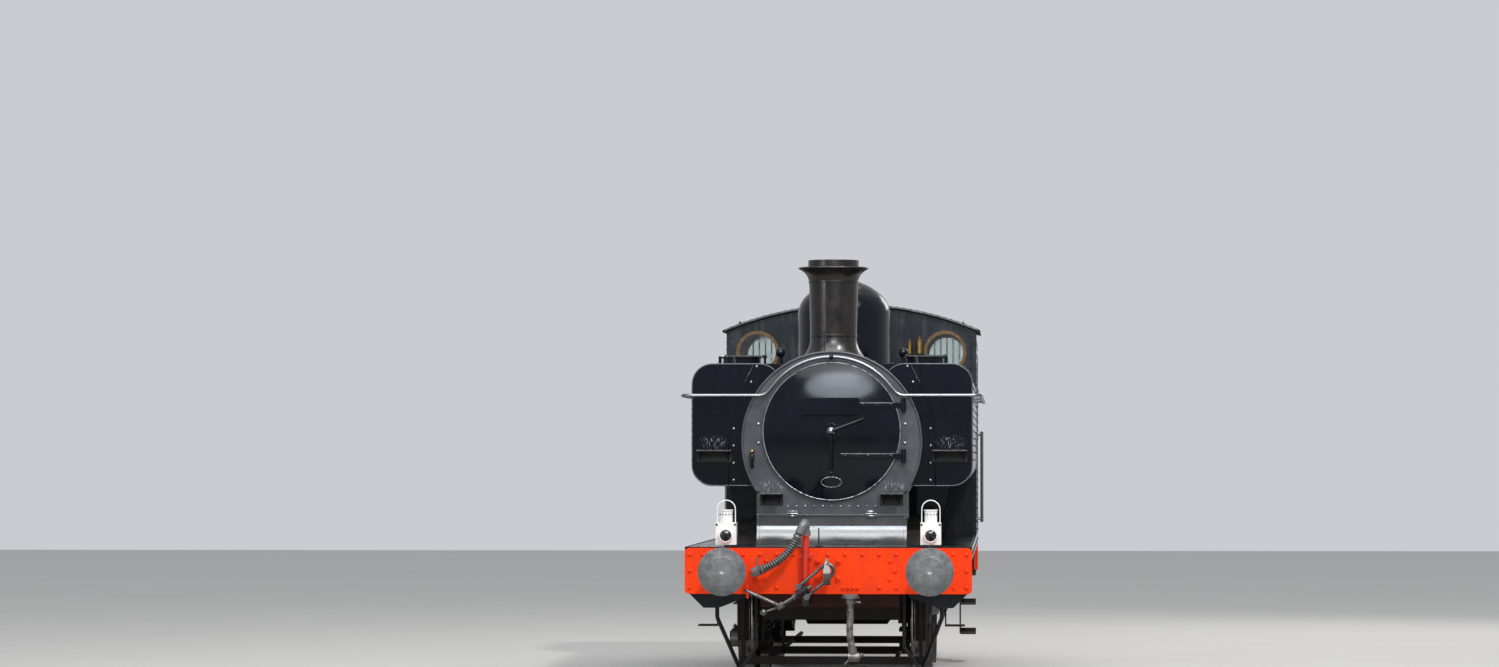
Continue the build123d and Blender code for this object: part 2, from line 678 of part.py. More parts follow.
floor_thickness = 40
with BuildPart() as cab_floor:
    with BuildSketch(Plane.XY.offset(plate_top)):
        with Locations((0, (cab_front_y + cab_back_y) / 2)):
            Rectangle(2 * (cab_half - sheet), cab_length - 2 * sheet)
        with Locations((0, (cab_front_y + firebox_back_y) / 2)):
            Rectangle(2 * firebox_foot_half + 60, firebox_back_y - cab_front_y + 10, mode=Mode.SUBTRACT)
        for side in (-1, 1):
            with Locations((side * (splasher_in_x + splasher_out_x + splasher_sheet) / 2, trailing_y)):
                Rectangle(
                    splasher_out_x + splasher_sheet - splasher_in_x + 4,
                    2 * splasher_out_radius,
                    mode=Mode.SUBTRACT,
                )
    extrude(amount=floor_thickness)
save("cab_floor", cab_floor.part)

# Spectacle rims, their glass, and the bars behind the bunker.
rim_outer, rim_depth = 208, 12
bar_pitch, bar_radius = 62, 7
glass_gap = 0.3
rim_places = [(side * spectacle_x, y) for side in (-1, 1) for y in (cab_front_y - rim_depth, cab_back_y)]
with BuildPart() as spectacle_rims:
    for rim_x, rim_y in rim_places:
        with BuildSketch(Plane.XZ.offset(-rim_y)):
            with Locations((rim_x, spectacle_z)):
                Circle(rim_outer)
                Circle(spectacle_hole - 8, mode=Mode.SUBTRACT)
        extrude(amount=-rim_depth)
    for side in (-1, 1):
        for place in range(5):
            bar_offset = (place - 2) * bar_pitch
            bar_length = 2 * sqrt((rim_outer - 6) ** 2 - bar_offset**2)
            bar_y = cab_back_y + rim_depth + bar_radius - 2
            with Locations((side * spectacle_x + bar_offset, bar_y, spectacle_z)):
                Cylinder(bar_radius, bar_length)
save("spectacle_rims", spectacle_rims.part)

glass_thickness = 6
with BuildPart() as window_glass:
    for rim_x, rim_y in rim_places:
        glass_y = cab_front_y if rim_y < cab_back_y - 1 else cab_back_y - glass_thickness
        with BuildSketch(Plane.XZ.offset(-glass_y)):
            with Locations((rim_x, spectacle_z)):
                Circle(spectacle_hole - glass_gap)
        extrude(amount=-glass_thickness)
save("window_glass", window_glass.part)

# Bunker, open on top, its back sheet swelling out behind.
bunker_top = rail + 2700
bunker_back_y = -beam_front_y - 15
bulge_back_y = bunker_back_y + 160
lip_radius = 14
bulge_low, bulge_high = rail + 1900, rail + 2160
bunker_floor_front, bunker_floor_back = plate_top + 40, plate_top + 560
bunker_steps = (plate_top + 190, plate_top + 430)
bunker_step_x = 480
with BuildPart() as bunker:
    with BuildSketch(Plane.YZ.offset(-cab_half)):
        with BuildLine():
            Polyline(
                (cab_back_y, plate_top),
                (bunker_back_y, plate_top),
                (bunker_back_y, bulge_low),
                (bulge_back_y, bulge_high),
                (bulge_back_y, bunker_top),
                (cab_back_y, bunker_top),
                close=True,
            )
        make_face()
    extrude(amount=2 * cab_half)
    with BuildSketch(Plane.YZ.offset(-cab_half + sheet)):
        with BuildLine():
            Polyline(
                (cab_back_y, bunker_floor_front),
                (bunker_back_y - sheet, bunker_floor_back),
                (bunker_back_y - sheet, bulge_low + 5),
                (bulge_back_y - sheet, bulge_high + 5),
                (bulge_back_y - sheet, bunker_top),
                (cab_back_y, bunker_top),
                close=True,
            )
        make_face()
    extrude(amount=2 * (cab_half - sheet), mode=Mode.SUBTRACT)
    for side in (-1, 1):
        with BuildSketch(Plane.XZ.offset(-cab_back_y)):
            with Locations((side * cab_half, bunker_top - lip_radius)):
                Circle(lip_radius)
        extrude(amount=-(bulge_back_y - cab_back_y))
    with BuildSketch(Plane.YZ.offset(-cab_half)):
        with Locations((bulge_back_y, bunker_top - lip_radius)):
            Circle(lip_radius)
    extrude(amount=2 * cab_half)
    for step_z in bunker_steps:
        with Locations((-bunker_step_x, bunker_back_y + 50, step_z)):
            Box(190, 100, 10)
        with Locations((-bunker_step_x, bunker_back_y + 5, step_z + 30)):
            Box(190, 10, 60)
save("bunker", bunker.part)

# Buffers: cast housings on the beams, and rams with slightly crowned heads.
housing_length = 340
housing_flange = 175
head_radius = 203
head_thickness = 42
ram_radius = 62
buffer_places = [(side * buffer_x, end) for side in (-1, 1) for end in (-1, 1)]
with BuildPart() as buffer_housings:
    for place_x, end in buffer_places:
        face = -end * beam_front_y
        out = end
        with BuildSketch(Plane.XY.offset(buffer_z)):
            with BuildLine():
                Polyline(
                    (place_x + ram_radius + 1, face),
                    (place_x + housing_flange, face),
                    (place_x + housing_flange, face + out * 30),
                    (place_x + 140, face + out * 42),
                    (place_x + 105, face + out * (housing_length - 40)),
                    (place_x + 118, face + out * (housing_length - 30)),
                    (place_x + 118, face + out * housing_length),
                    (place_x + ram_radius + 1, face + out * housing_length),
                    close=True,
                )
            make_face()
        revolve(axis=Axis((place_x, 0, buffer_z), (0, 1, 0)))
save("buffer_housings", buffer_housings.part)

with BuildPart() as buffer_heads:
    for place_x, end in buffer_places:
        face = -end * beam_front_y
        out = end
        with BuildSketch(Plane.XY.offset(buffer_z)):
            with BuildLine():
                Polyline(
                    (place_x, face),
                    (place_x + ram_radius, face),
                    (place_x + ram_radius, face + out * (buffer_length - head_thickness - 30)),
                    (place_x + ram_radius + 40, face + out * (buffer_length - head_thickness)),
                    (place_x + head_radius, face + out * (buffer_length - head_thickness)),
                    (place_x + head_radius, face + out * (buffer_length - 18)),
                    (place_x + 120, face + out * (buffer_length - 4)),
                    (place_x, face + out * buffer_length),
                    close=True,
                )
            make_face()
        revolve(axis=Axis((place_x, 0, buffer_z), (0, 1, 0)))
save("buffer_heads", buffer_heads.part)

# Axles, wheels and crankpins. The table gives each axle's place and whether it has inside cranks.
hub_radius = 150
hub_in_x, hub_out_x = wheel_back_x + 10, 840
rim_thickness = 55
pin_boss_radius = 95
rod_clear = 2
rod_thickness = 45
rod_boss_thickness = 58
rod_in_x = 850 + rod_clear
pin_out_x = rod_in_x + rod_boss_thickness + rod_clear
pin_cap_x = pin_out_x + 14
crank_angles = {1: 0, -1: -90}


def road_wheel(side, axle_y):
    """One wheel with its tyre: flange and tread by revolving, then spokes, hub, crank boss and weight."""
    angle = crank_angles[side]
    tyre_in = tread_radius - tyre_thickness
    rim_in = tyre_in - rim_thickness
    with BuildPart() as wheel:
        with BuildSketch(Plane.XZ.offset(-axle_y)):
            with BuildLine():
                Polyline(
                    (side * wheel_back_x, axle_z + tyre_in),
                    (side * wheel_back_x, axle_z + flange_radius - 14),
                    (side * (wheel_back_x + 10), axle_z + flange_radius),
                    (side * (wheel_back_x + 20), axle_z + flange_radius),
                    (side * (wheel_back_x + 34), axle_z + tread_radius),
                    (side * wheel_face_x, axle_z + tread_radius - 5),
                    (side * wheel_face_x, axle_z + tyre_in),
                    (side * (wheel_face_x - 20), axle_z + tyre_in),
                    (side * (wheel_face_x - 20), axle_z + rim_in),
                    (side * (wheel_back_x + 20), axle_z + rim_in),
                    (side * (wheel_back_x + 20), axle_z + tyre_in),
                    close=True,
                )
            make_face()
        revolve(axis=Axis((0, axle_y, axle_z), (1, 0, 0)))
        spoke_plane = Plane((side * (wheel_back_x + 34), axle_y, axle_z), x_dir=(0, 1, 0), z_dir=(1, 0, 0))
        with BuildSketch(spoke_plane):
            with PolarLocations((hub_radius + rim_in) / 2, spoke_count):
                Rectangle(rim_in - hub_radius + 20, 48)
        extrude(amount=side * 62)
        hub_plane = Plane((side * hub_in_x, axle_y, axle_z), x_dir=(0, 1, 0), z_dir=(1, 0, 0))
        with BuildSketch(hub_plane):
            Circle(hub_radius)
        extrude(amount=side * (hub_out_x - hub_in_x))
        boss_plane = Plane((side * (wheel_back_x + 20), axle_y, axle_z), x_dir=(0, 1, 0), z_dir=(1, 0, 0))
        pin = (outside_throw * cos(radians(angle)), outside_throw * sin(radians(angle)))
        with BuildSketch(boss_plane):
            with Locations(pin):
                Circle(pin_boss_radius)
            with Locations(Location((pin[0] / 2, pin[1] / 2, 0), (0, 0, angle))):
                Rectangle(outside_throw, 2 * pin_boss_radius)
        extrude(amount=side * (850 - wheel_back_x - 20))
        with BuildSketch(boss_plane):
            Circle(rim_in + 5)
            with Locations((pin[0], pin[1])):
                Circle(rim_in + 60, mode=Mode.SUBTRACT)
            with Locations(Location((-pin[0] * 1.65, -pin[1] * 1.65, 0), (0, 0, angle))):
                Rectangle(330, 1000, mode=Mode.INTERSECT)
        extrude(amount=side * 95)
        with BuildSketch(hub_plane):
            Circle(axle_diameter / 2)
        extrude(amount=side * 200, mode=Mode.SUBTRACT)
    return wheel.part


inside_throw = 305
crank_x = 325
web_thickness = 105
web_radius = 125
big_end_length = 110
for name, axle_y in (("leading", leading_y), ("driving", driving_y), ("trailing", trailing_y)):
    wheel_left = road_wheel(1, axle_y)
    wheel_right = road_wheel(-1, axle_y)
    with BuildPart() as wheels:
        add(wheel_left)
        add(wheel_right)
    save(f"{name}_wheels", wheels.part)
    with BuildPart() as axle:
        with Locations(Location((0, axle_y, axle_z), (0, 90, 0))):
            Cylinder(axle_diameter / 2, 2 * (hub_out_x - 4))
        if name == "driving":
            for side in (-1, 1):
                angle = crank_angles[side] + 180
                pin = (inside_throw * cos(radians(angle)), inside_throw * sin(radians(angle)))
                crank_plane = Plane((side * crank_x, axle_y, axle_z), x_dir=(0, 1, 0), z_dir=(1, 0, 0))
                with BuildSketch(crank_plane):
                    Circle(axle_diameter)
                extrude(amount=big_end_length / 2, both=True, mode=Mode.SUBTRACT)
                with BuildSketch(crank_plane):
                    with Locations(pin):
                        Circle(axle_diameter / 2)
                extrude(amount=big_end_length / 2, both=True)
                for web in (-1, 1):
                    web_x = side * crank_x + web * (big_end_length + web_thickness) / 2
                    web_plane = Plane((web_x, axle_y, axle_z), x_dir=(0, 1, 0), z_dir=(1, 0, 0))
                    with BuildSketch(web_plane):
                        Circle(web_radius)
                        with Locations(pin):
                            Circle(web_radius)
                        with Locations(Location((pin[0] / 2, pin[1] / 2, 0), (0, 0, angle))):
                            Rectangle(inside_throw, 2 * web_radius)
                    extrude(amount=web_thickness / 2, both=True)
    save(f"{name}_axle", axle.part)
    with BuildPart() as crankpins:
        for side in (-1, 1):
            angle = crank_angles[side]
            pin_y = axle_y + outside_throw * cos(radians(angle))
            pin_z = axle_z + outside_throw * sin(radians(angle))
            with Locations(Location((side * (850 + pin_out_x) / 2, pin_y, pin_z), (0, 90, 0))):
                Cylinder(crankpin_diameter / 2, pin_out_x - 850)
            with Locations(Location((side * (pin_cap_x + pin_out_x) / 2, pin_y, pin_z), (0, 90, 0))):
                Cylinder(crankpin_diameter / 2 + 16, pin_cap_x - pin_out_x)
    save(f"{name}_crankpins", crankpins.part)

# Coupling rods: a fluted bar with a boss on each crankpin.
rod_height = 110
rod_end_radius = 82
for rod_name, side in (("coupling_rod_left", 1), ("coupling_rod_right", -1)):
    angle = crank_angles[side]
    offset_y = outside_throw * cos(radians(angle))
    rod_z = axle_z + outside_throw * sin(radians(angle))
    rod_plane = Plane((side * rod_in_x, 0, 0), x_dir=(0, 1, 0), z_dir=(1, 0, 0))
    with BuildPart() as rod:
        with BuildSketch(rod_plane):
            with Locations(((leading_y + trailing_y) / 2 + offset_y, rod_z)):
                Rectangle(trailing_y - leading_y, rod_height)
        extrude(amount=side * rod_thickness)
        with BuildSketch(rod_plane):
            for axle_y in (leading_y, driving_y, trailing_y):
                with Locations((axle_y + offset_y, rod_z)):
                    Circle(rod_end_radius)
        extrude(amount=side * rod_boss_thickness)
        with BuildSketch(rod_plane):
            for axle_y in (leading_y, driving_y, trailing_y):
                with Locations((axle_y + offset_y, rod_z)):
                    Circle(crankpin_diameter / 2 + running_gap)
        extrude(amount=side * rod_boss_thickness, mode=Mode.SUBTRACT)
        flute_plane = Plane((side * (rod_in_x + rod_thickness), 0, 0), x_dir=(0, 1, 0), z_dir=(1, 0, 0))
        with BuildSketch(flute_plane):
            for first_y, second_y in ((leading_y, driving_y), (driving_y, trailing_y)):
                with Locations(((first_y + second_y) / 2 + offset_y, rod_z)):
                    Rectangle(second_y - first_y - 320, rod_height - 50)
        extrude(amount=-side * 14, mode=Mode.SUBTRACT)
    save(rod_name, rod.part)

# Axleboxes between the horns, and laminated springs hung below them.
box_half_y = horn_gap / 2 - 0.3
box_half_z = 150
box_in_x, box_out_x = 560, 672
spring_top = 450
leaf_thickness = 16
leaf_table = ((900, 0), (760, 1), (620, 2), (480, 3), (340, 4))
with BuildPart() as axleboxes:
    for axle_y in (leading_y, driving_y, trailing_y):
        with Locations(((box_in_x + box_out_x) / 2, axle_y, axle_z)):
            Box(box_out_x - box_in_x, 2 * box_half_y, 2 * box_half_z)
        with Locations(Location(((box_in_x + box_out_x) / 2, axle_y, axle_z), (0, 90, 0))):
            Cylinder(axle_diameter / 2 + running_gap, 300, mode=Mode.SUBTRACT)
    mirror(about=Plane.YZ)
save("axleboxes", axleboxes.part)

spring_x = (keep_in + keep_out) / 2
with BuildPart() as springs:
    for axle_y in (leading_y, driving_y, trailing_y):
        for leaf_length, row in leaf_table:
            with Locations((spring_x, axle_y, spring_top - leaf_thickness * (row + 0.5))):
                Box(80, leaf_length, leaf_thickness)
        with Locations((spring_x, axle_y, spring_top - 50)):
            Box(96, 90, 120)
        with Locations((spring_x, axle_y, (spring_top + axle_z - box_half_z) / 2)):
            Cylinder(20, axle_z - box_half_z - spring_top)
        for end in (-1, 1):
            with Locations((spring_x - 1, axle_y + end * 420, (spring_top + frame_bottom) / 2)):
                Box(24, 30, frame_bottom - spring_top)
    mirror(about=Plane.YZ)
save("springs", springs.part)

# Brake gear: a hanger and block ahead of each wheel, cross beams and pull rods.
shoe_gap = 7
shoe_thickness = 45
shoe_half_x = 50
shoe_x = wheel_back_x + 90
hanger_y, hanger_foot_y = -795, -640
hanger_top_z, hanger_knee_z, beam_rod_z = rail + 1080, rail + 620, rail + 252
brake_rod_x, brake_rod_radius, brake_rod_tail = 545, 20, 990
shoe_drop, shoe_height = 90, 380
hanger_width, hanger_thickness = 60, 32
hanger_pin_radius, hanger_pin_drop = 24, 40
cross_beam_width, cross_beam_height = 34, 70
with BuildPart() as brake_gear:
    for axle_y in (leading_y, driving_y, trailing_y):
        with BuildSketch(Plane.YZ.offset(shoe_x - shoe_half_x)):
            with Locations((axle_y, axle_z)):
                Circle(tread_radius + shoe_gap + shoe_thickness)
                Circle(tread_radius + shoe_gap, mode=Mode.SUBTRACT)
            with Locations((axle_y - tread_radius, axle_z - shoe_drop)):
                Rectangle(400, shoe_height, mode=Mode.INTERSECT)
        extrude(amount=2 * shoe_half_x)
        with BuildSketch(Plane.YZ.offset(shoe_x - hanger_thickness / 2)):
            with BuildLine():
                Polyline(
                    (axle_y + hanger_y, hanger_top_z),
                    (axle_y + hanger_y + hanger_width, hanger_top_z),
                    (axle_y + hanger_y + 45, hanger_knee_z),
                    (axle_y + hanger_foot_y + 30, beam_rod_z - 40),
                    (axle_y + hanger_foot_y - 30, beam_rod_z - 40),
                    (axle_y + hanger_y - 10, hanger_knee_z),
                    close=True,
                )
            make_face()
        extrude(amount=hanger_thickness)
        with BuildSketch(Plane.YZ.offset(frame_out)):
            with Locations((axle_y + hanger_y + hanger_width / 2, hanger_top_z - hanger_pin_drop)):
                Circle(hanger_pin_radius)
        extrude(amount=shoe_x + 20 - frame_out)
        with Locations((0, axle_y + hanger_foot_y, beam_rod_z)):
            Box(2 * (shoe_x + 30), cross_beam_width, cross_beam_height)
    for side in (-1, 1):
        with BuildSketch(Plane.XZ.offset(-(leading_y + hanger_foot_y))):
            with Locations((side * brake_rod_x, beam_rod_z)):
                Circle(brake_rod_radius)
        extrude(amount=-(trailing_y + brake_rod_tail - leading_y - hanger_foot_y))
    mirror(about=Plane.YZ)
save("brake_gear", brake_gear.part)

# Guard irons ahead of the leading wheels, cranked out over the rails.
iron_thickness = 25
iron_width = 80
iron_share = 413 / 755
guard_iron_y = beam_back_y + iron_share * (leading_y - flange_radius - iron_width - beam_back_y)
iron_foot_x, iron_foot_z, iron_top_z = 765, rail + 70, frame_end_bottom + 78
iron_knee_high, iron_knee_low = frame_end_bottom - 502, 250
with BuildPart() as guard_irons:
    with BuildSketch(Plane.XZ.offset(-guard_iron_y)):
        with BuildLine():
            Polyline(
                (frame_out, iron_top_z),
                (frame_out + iron_thickness, iron_top_z),
                (frame_out + iron_thickness, iron_knee_high),
                (iron_foot_x, iron_knee_low),
                (iron_foot_x, iron_foot_z),
                (iron_foot_x - iron_thickness, iron_foot_z),
                (iron_foot_x - iron_thickness, iron_knee_low - 10),
                (frame_out, iron_knee_high - 10),
                close=True,
            )
        make_face()
    extrude(amount=-iron_width)
    mirror(about=Plane.YZ)
save("guard_irons", guard_irons.part)

# Sand boxes under the running plate, each with a pipe down to the rail beside a wheel.
sand_box_share = 343 / 773
sand_box_depth = sand_box_share * (leading_y + hanger_y - beam_back_y)
sand_box_setback = 190
sand_box_in_x = frame_out + 60
sand_box_out_x = beam_width / 2 - sheet - 25
sand_box_floor = rail + 735
sand_box_chine, sand_box_in_chine = 120, 95
sand_floor_in_x, sand_floor_out_x = 930, 1060
sand_pipe_x, sand_pipe_mid_x, sand_pipe_foot_x = 960, 800, 750
sand_pipe_radius, sand_pipe_bend = 18, 60
nozzle_gap, nozzle_reach, nozzle_z = 160, 130, rail + 70
sand_spans = (
    (beam_back_y, leading_y - tread_radius - nozzle_gap, 1),
    (-beam_back_y - sand_box_setback - sand_box_depth, trailing_y + tread_radius + nozzle_gap, -1),
)
with BuildPart() as sand_boxes:
    for box_front_y, nozzle_y, toward in sand_spans:
        with BuildSketch(Plane.XZ.offset(-box_front_y)):
            with BuildLine():
                Polyline(
                    (sand_box_in_x, plate_under),
                    (sand_box_out_x, plate_under),
                    (sand_box_out_x, sand_box_floor + sand_box_chine),
                    (sand_floor_out_x, sand_box_floor),
                    (sand_floor_in_x, sand_box_floor),
                    (sand_box_in_x, sand_box_floor + sand_box_in_chine),
                    close=True,
                )
            make_face()
        extrude(amount=-sand_box_depth)
        box_mid_y = box_front_y + sand_box_depth / 2 + toward * 90
        with BuildLine() as pipe_path:
            FilletPolyline(
                (sand_pipe_x, box_mid_y, sand_box_floor + 20),
                (sand_pipe_x, box_mid_y, sand_box_floor - 90),
                (sand_pipe_mid_x, nozzle_y - toward * nozzle_reach, rail + 230),
                (sand_pipe_foot_x, nozzle_y, nozzle_z),
                radius=sand_pipe_bend,
            )
        with BuildSketch(Plane.XY.offset(sand_box_floor + 20)):
            with Locations((sand_pipe_x, box_mid_y)):
                Circle(sand_pipe_radius)
        sweep(path=pipe_path.wires()[0])
    mirror(about=Plane.YZ)
save("sand_boxes", sand_boxes.part)

# Steps: a hanger and tread at the front corners, and two treads below each doorway.
front_step_y = smokebox_front_y - 40
front_step_x, front_step_z = 986, rail + 563
foot_step_depth, foot_step_thickness = 125, 10
foot_steps = ((520, rail + 1694, 196, smokebox_front_y), (1022, rail + 2068, 305, tank_front_y))
cab_step_y = (doorway_front_y + doorway_back_y) / 2
with BuildPart() as front_steps:
    with Locations((front_step_x, front_step_y, (front_step_z + plate_under) / 2)):
        Box(12, 70, plate_under - front_step_z)
    with Locations((front_step_x + 79, front_step_y, front_step_z)):
        Box(170, 260, 12)
    for step_x, step_z, step_width, wall_y in foot_steps:
        with Locations((step_x, wall_y - foot_step_depth / 2, step_z)):
            Box(step_width, foot_step_depth, foot_step_thickness)
        with Locations((step_x, wall_y - foot_step_thickness / 2, step_z - 45)):
            Box(step_width, foot_step_thickness, 100)
        for end in (-1, 1):
            gusset_x = step_x + end * (step_width / 2 - 30) - foot_step_thickness / 2
            with BuildSketch(Plane.YZ.offset(gusset_x)):
                with BuildLine():
                    Polyline(
                        (wall_y, step_z),
                        (wall_y - foot_step_depth + 20, step_z),
                        (wall_y, step_z - 90),
                        close=True,
                    )
                make_face()
            extrude(amount=foot_step_thickness)
    mirror(about=Plane.YZ)
save("front_steps", front_steps.part)

cab_step_x, cab_step_length, cab_step_depth = 1050, 420, 150
cab_step_heights = (rail + 268, rail + 560, rail + 850)
cheek_sheet, cheek_height = 8, 44
with BuildPart() as cab_steps:
    with Locations((cab_step_x, cab_step_y, (cab_step_heights[0] + plate_under) / 2)):
        Box(sheet, cab_step_length, plate_under - cab_step_heights[0])
    for tread_z in cab_step_heights:
        with Locations((cab_step_x + cab_step_depth / 2 + 5, cab_step_y, tread_z)):
            Box(cab_step_depth, cab_step_length, sheet)
        cheek_y = cab_step_y + cab_step_length / 2 - cheek_sheet / 2
        with Locations((cab_step_x + cab_step_depth / 2 + 5, cheek_y, tread_z + cheek_height / 2)):
            Box(cab_step_depth, cheek_sheet, cheek_height)
    mirror(about=Plane.YZ)
save("cab_steps", cab_steps.part)

# Smokebox door: a dished plate with its frame of straps, on a hinge at the left-hand side.
door_gap = 0.3
door_edge = 22
door_crown = 85
hinge_x = door_radius + 28
hinge_y = smokebox_front_y - 28
dish_radius = (door_radius**2 + door_crown**2) / (2 * door_crown)
strap_table = ((door_z + 227, 235), (door_z - 213, 70))
door_back_y = smokebox_front_y - door_gap
strap_height, strap_thickness = 44, 12
knuckle_radius, knuckle_length, hinge_pin_radius = 22, 56, 12
crown_y = door_back_y - door_crown - door_edge
spindle_reach = 130
handle_table = ((271, rail + 2341, 85), (0, rail + 1878, 118))
door_plate_width, door_plate_height, door_plate_z, plate_standoff = 484, 150, 216, 14


def door_dish(forward, thickness):
    """The dished disc, with its outer face this far forward of the door's own and as thick as given."""
    dish_y = crown_y - forward
    rise = dish_radius - sqrt(dish_radius**2 - (door_radius / 2) ** 2)
    with BuildPart() as dish:
        with BuildSketch(Plane.YZ):
            with BuildLine():
                Line((dish_y + thickness, door_z), (dish_y, door_z))
                ThreePointArc(
                    (dish_y, door_z),
                    (dish_y + rise, door_z + door_radius / 2),
                    (dish_y + door_crown, door_z + door_radius),
                )
                Line(
                    (dish_y + door_crown, door_z + door_radius),
                    (dish_y + door_crown + thickness, door_z + door_radius),
                )
                ThreePointArc(
                    (dish_y + door_crown + thickness, door_z + door_radius),
                    (dish_y + rise + thickness, door_z + door_radius / 2),
                    (dish_y + thickness, door_z),
                )
            make_face()
        revolve(axis=Axis((0, 0, door_z), (0, 1, 0)))
    return dish.part


door_plate = door_dish(0, door_edge)
strap_parts = []
for strap_z, strap_in in strap_table:
    with BuildPart() as strap:
        add(door_dish(strap_thickness, door_edge))
        with Locations(((strap_in + door_radius) / 2, door_back_y - 100, strap_z)):
            Box(door_radius - strap_in, 400, strap_height, mode=Mode.INTERSECT)
    strap_parts.append(strap.part)
with BuildPart() as smokebox_door:
    add(door_plate)
    for strap_part in strap_parts:
        add(strap_part)
    with BuildSketch(Plane.XZ.offset(-door_back_y + door_crown + door_edge - 12)):
        with Locations((0, door_z)):
            Circle(68)
    extrude(amount=70)
    for strap_z, strap_in in strap_table:
        edge_x = sqrt(door_radius**2 - (abs(strap_z - door_z) + strap_height / 2) ** 2) - 25
        with Locations(((edge_x + hinge_x) / 2, door_back_y - door_edge - strap_thickness / 2, strap_z)):
            Box(hinge_x - edge_x, strap_thickness + 6, strap_height)
        with Locations((hinge_x, hinge_y, strap_z)):
            Cylinder(knuckle_radius, knuckle_length)
            Cylinder(hinge_pin_radius + running_gap, knuckle_length, mode=Mode.SUBTRACT)
    with BuildSketch(Plane.XZ.offset(-crown_y)):
        with Locations((0, door_z)):
            Circle(24)
    extrude(amount=spindle_reach + 12)
    for handle_x, handle_z, handle_y in handle_table:
        handle_plane = Plane(
            (0, crown_y - handle_y, door_z),
            x_dir=(0, 1, 0),
            z_dir=(handle_x, 0, handle_z - door_z),
        )
        with BuildSketch(handle_plane):
            Circle(17)
        with BuildSketch(handle_plane.offset(hypot(handle_x, handle_z - door_z))):
            Circle(12)
        loft()
        with Locations((handle_x, crown_y - handle_y, handle_z)):
            Sphere(17)
    with Locations((0, crown_y - plate_standoff, door_z + door_plate_z)):
        Box(door_plate_width, plate_standoff, door_plate_height)
    for side in (-1, 1):
        with Locations((side * door_plate_width * 0.3, crown_y + 10, door_z + door_plate_z)):
            Box(50, 60, 60)
save("smokebox_door", smokebox_door.part)

# Hinge posts that stand on the smokebox front and hold the door's pins.
knuckle_play, lug_length = 2, 30
with BuildPart() as door_hinges:
    for strap_z, strap_in in strap_table:
        for up in (-1, 1):
            lug_z = strap_z + up * (knuckle_length / 2 + knuckle_play + lug_length / 2)
            with Locations((hinge_x, hinge_y, lug_z)):
                Cylinder(knuckle_radius, lug_length)
            with Locations((hinge_x, (hinge_y + smokebox_front_y) / 2, lug_z)):
                Box(1.6 * knuckle_radius, smokebox_front_y - hinge_y, lug_length)
        with Locations((hinge_x, hinge_y, strap_z)):
            Cylinder(hinge_pin_radius, knuckle_length + 2 * (knuckle_play + lug_length))
save("door_hinges", door_hinges.part)

# Continuous handrail: along both tank sides, round the corners and up over the smokebox door.
rail_radius = 16
handrail_x = 2616 / 2 - rail_radius
handrail_z = rail + 2548
handrail_front_y = tank_front_y - 150
handrail_arch_top = rail + 2882
arch_end = radians(50)
arch_radius = handrail_arch_top - door_z
arch_knee = arch_radius / cos(arch_end / 3)
arch_fall = door_z + arch_radius * cos(arch_end) - handrail_z
arch_foot_x = arch_radius * sin(arch_end) + arch_fall / tan(arch_end)
arch_turns = [turn * 2 / 3 * arch_end for turn in (-1, 0, 1)]
handrail_end_y = cab_front_y - 30
pillar_radius = 11
side_pillars = [tank_front_y + 250 + 1100 * place for place in range(5)]
door_rail_radius, door_rail_x = 14, cab_half + 48
door_rail_low, door_rail_high = plate_top + 120, waist_z - 60
front_pillars = (-1000, 1000)
with BuildPart() as handrail:
    with BuildLine() as rail_path:
        FilletPolyline(
            (-handrail_x, handrail_end_y, handrail_z),
            (-handrail_x, handrail_front_y, handrail_z),
            (-arch_foot_x, handrail_front_y, handrail_z),
            *[
                (arch_knee * sin(turn), handrail_front_y, door_z + arch_knee * cos(turn))
                for turn in arch_turns
            ],
            (arch_foot_x, handrail_front_y, handrail_z),
            (handrail_x, handrail_front_y, handrail_z),
            (handrail_x, handrail_end_y, handrail_z),
            radius=[80, 100, arch_radius * 0.99, arch_radius * 0.99, arch_radius * 0.99, 100, 80],
        )
    rail_start = Plane((-handrail_x, handrail_end_y, handrail_z), x_dir=(1, 0, 0), z_dir=(0, -1, 0))
    with BuildSketch(rail_start):
        Circle(rail_radius)
    sweep(path=rail_path.wires()[0])
    for side in (-1, 1):
        for pillar_y in side_pillars:
            pillar_x = side * (tank_half + handrail_x) / 2
            with Locations(Location((pillar_x, pillar_y, handrail_z), (0, 90, 0))):
                Cylinder(pillar_radius, handrail_x - tank_half)
    for pillar_x in front_pillars:
        with Locations(Location((pillar_x, (tank_front_y + handrail_front_y) / 2, handrail_z), (90, 0, 0))):
            Cylinder(pillar_radius, tank_front_y - handrail_front_y)
    arch_place = (0, (smokebox_front_y + handrail_front_y) / 2, handrail_arch_top)
    with Locations(Location(arch_place, (90, 0, 0))):
        Cylinder(pillar_radius, smokebox_front_y - handrail_front_y)
    for side in (-1, 1):
        for rail_y in (doorway_front_y - 45, doorway_back_y + 45):
            with Locations((side * door_rail_x, rail_y, (door_rail_low + door_rail_high) / 2)):
                Cylinder(door_rail_radius, door_rail_high - door_rail_low)
            for post_z in (door_rail_low + 30, door_rail_high - 30):
                with Locations(Location((side * (cab_half + door_rail_x) / 2, rail_y, post_z), (0, 90, 0))):
                    Cylinder(pillar_radius, door_rail_x - cab_half)
save("handrail", handrail.part)

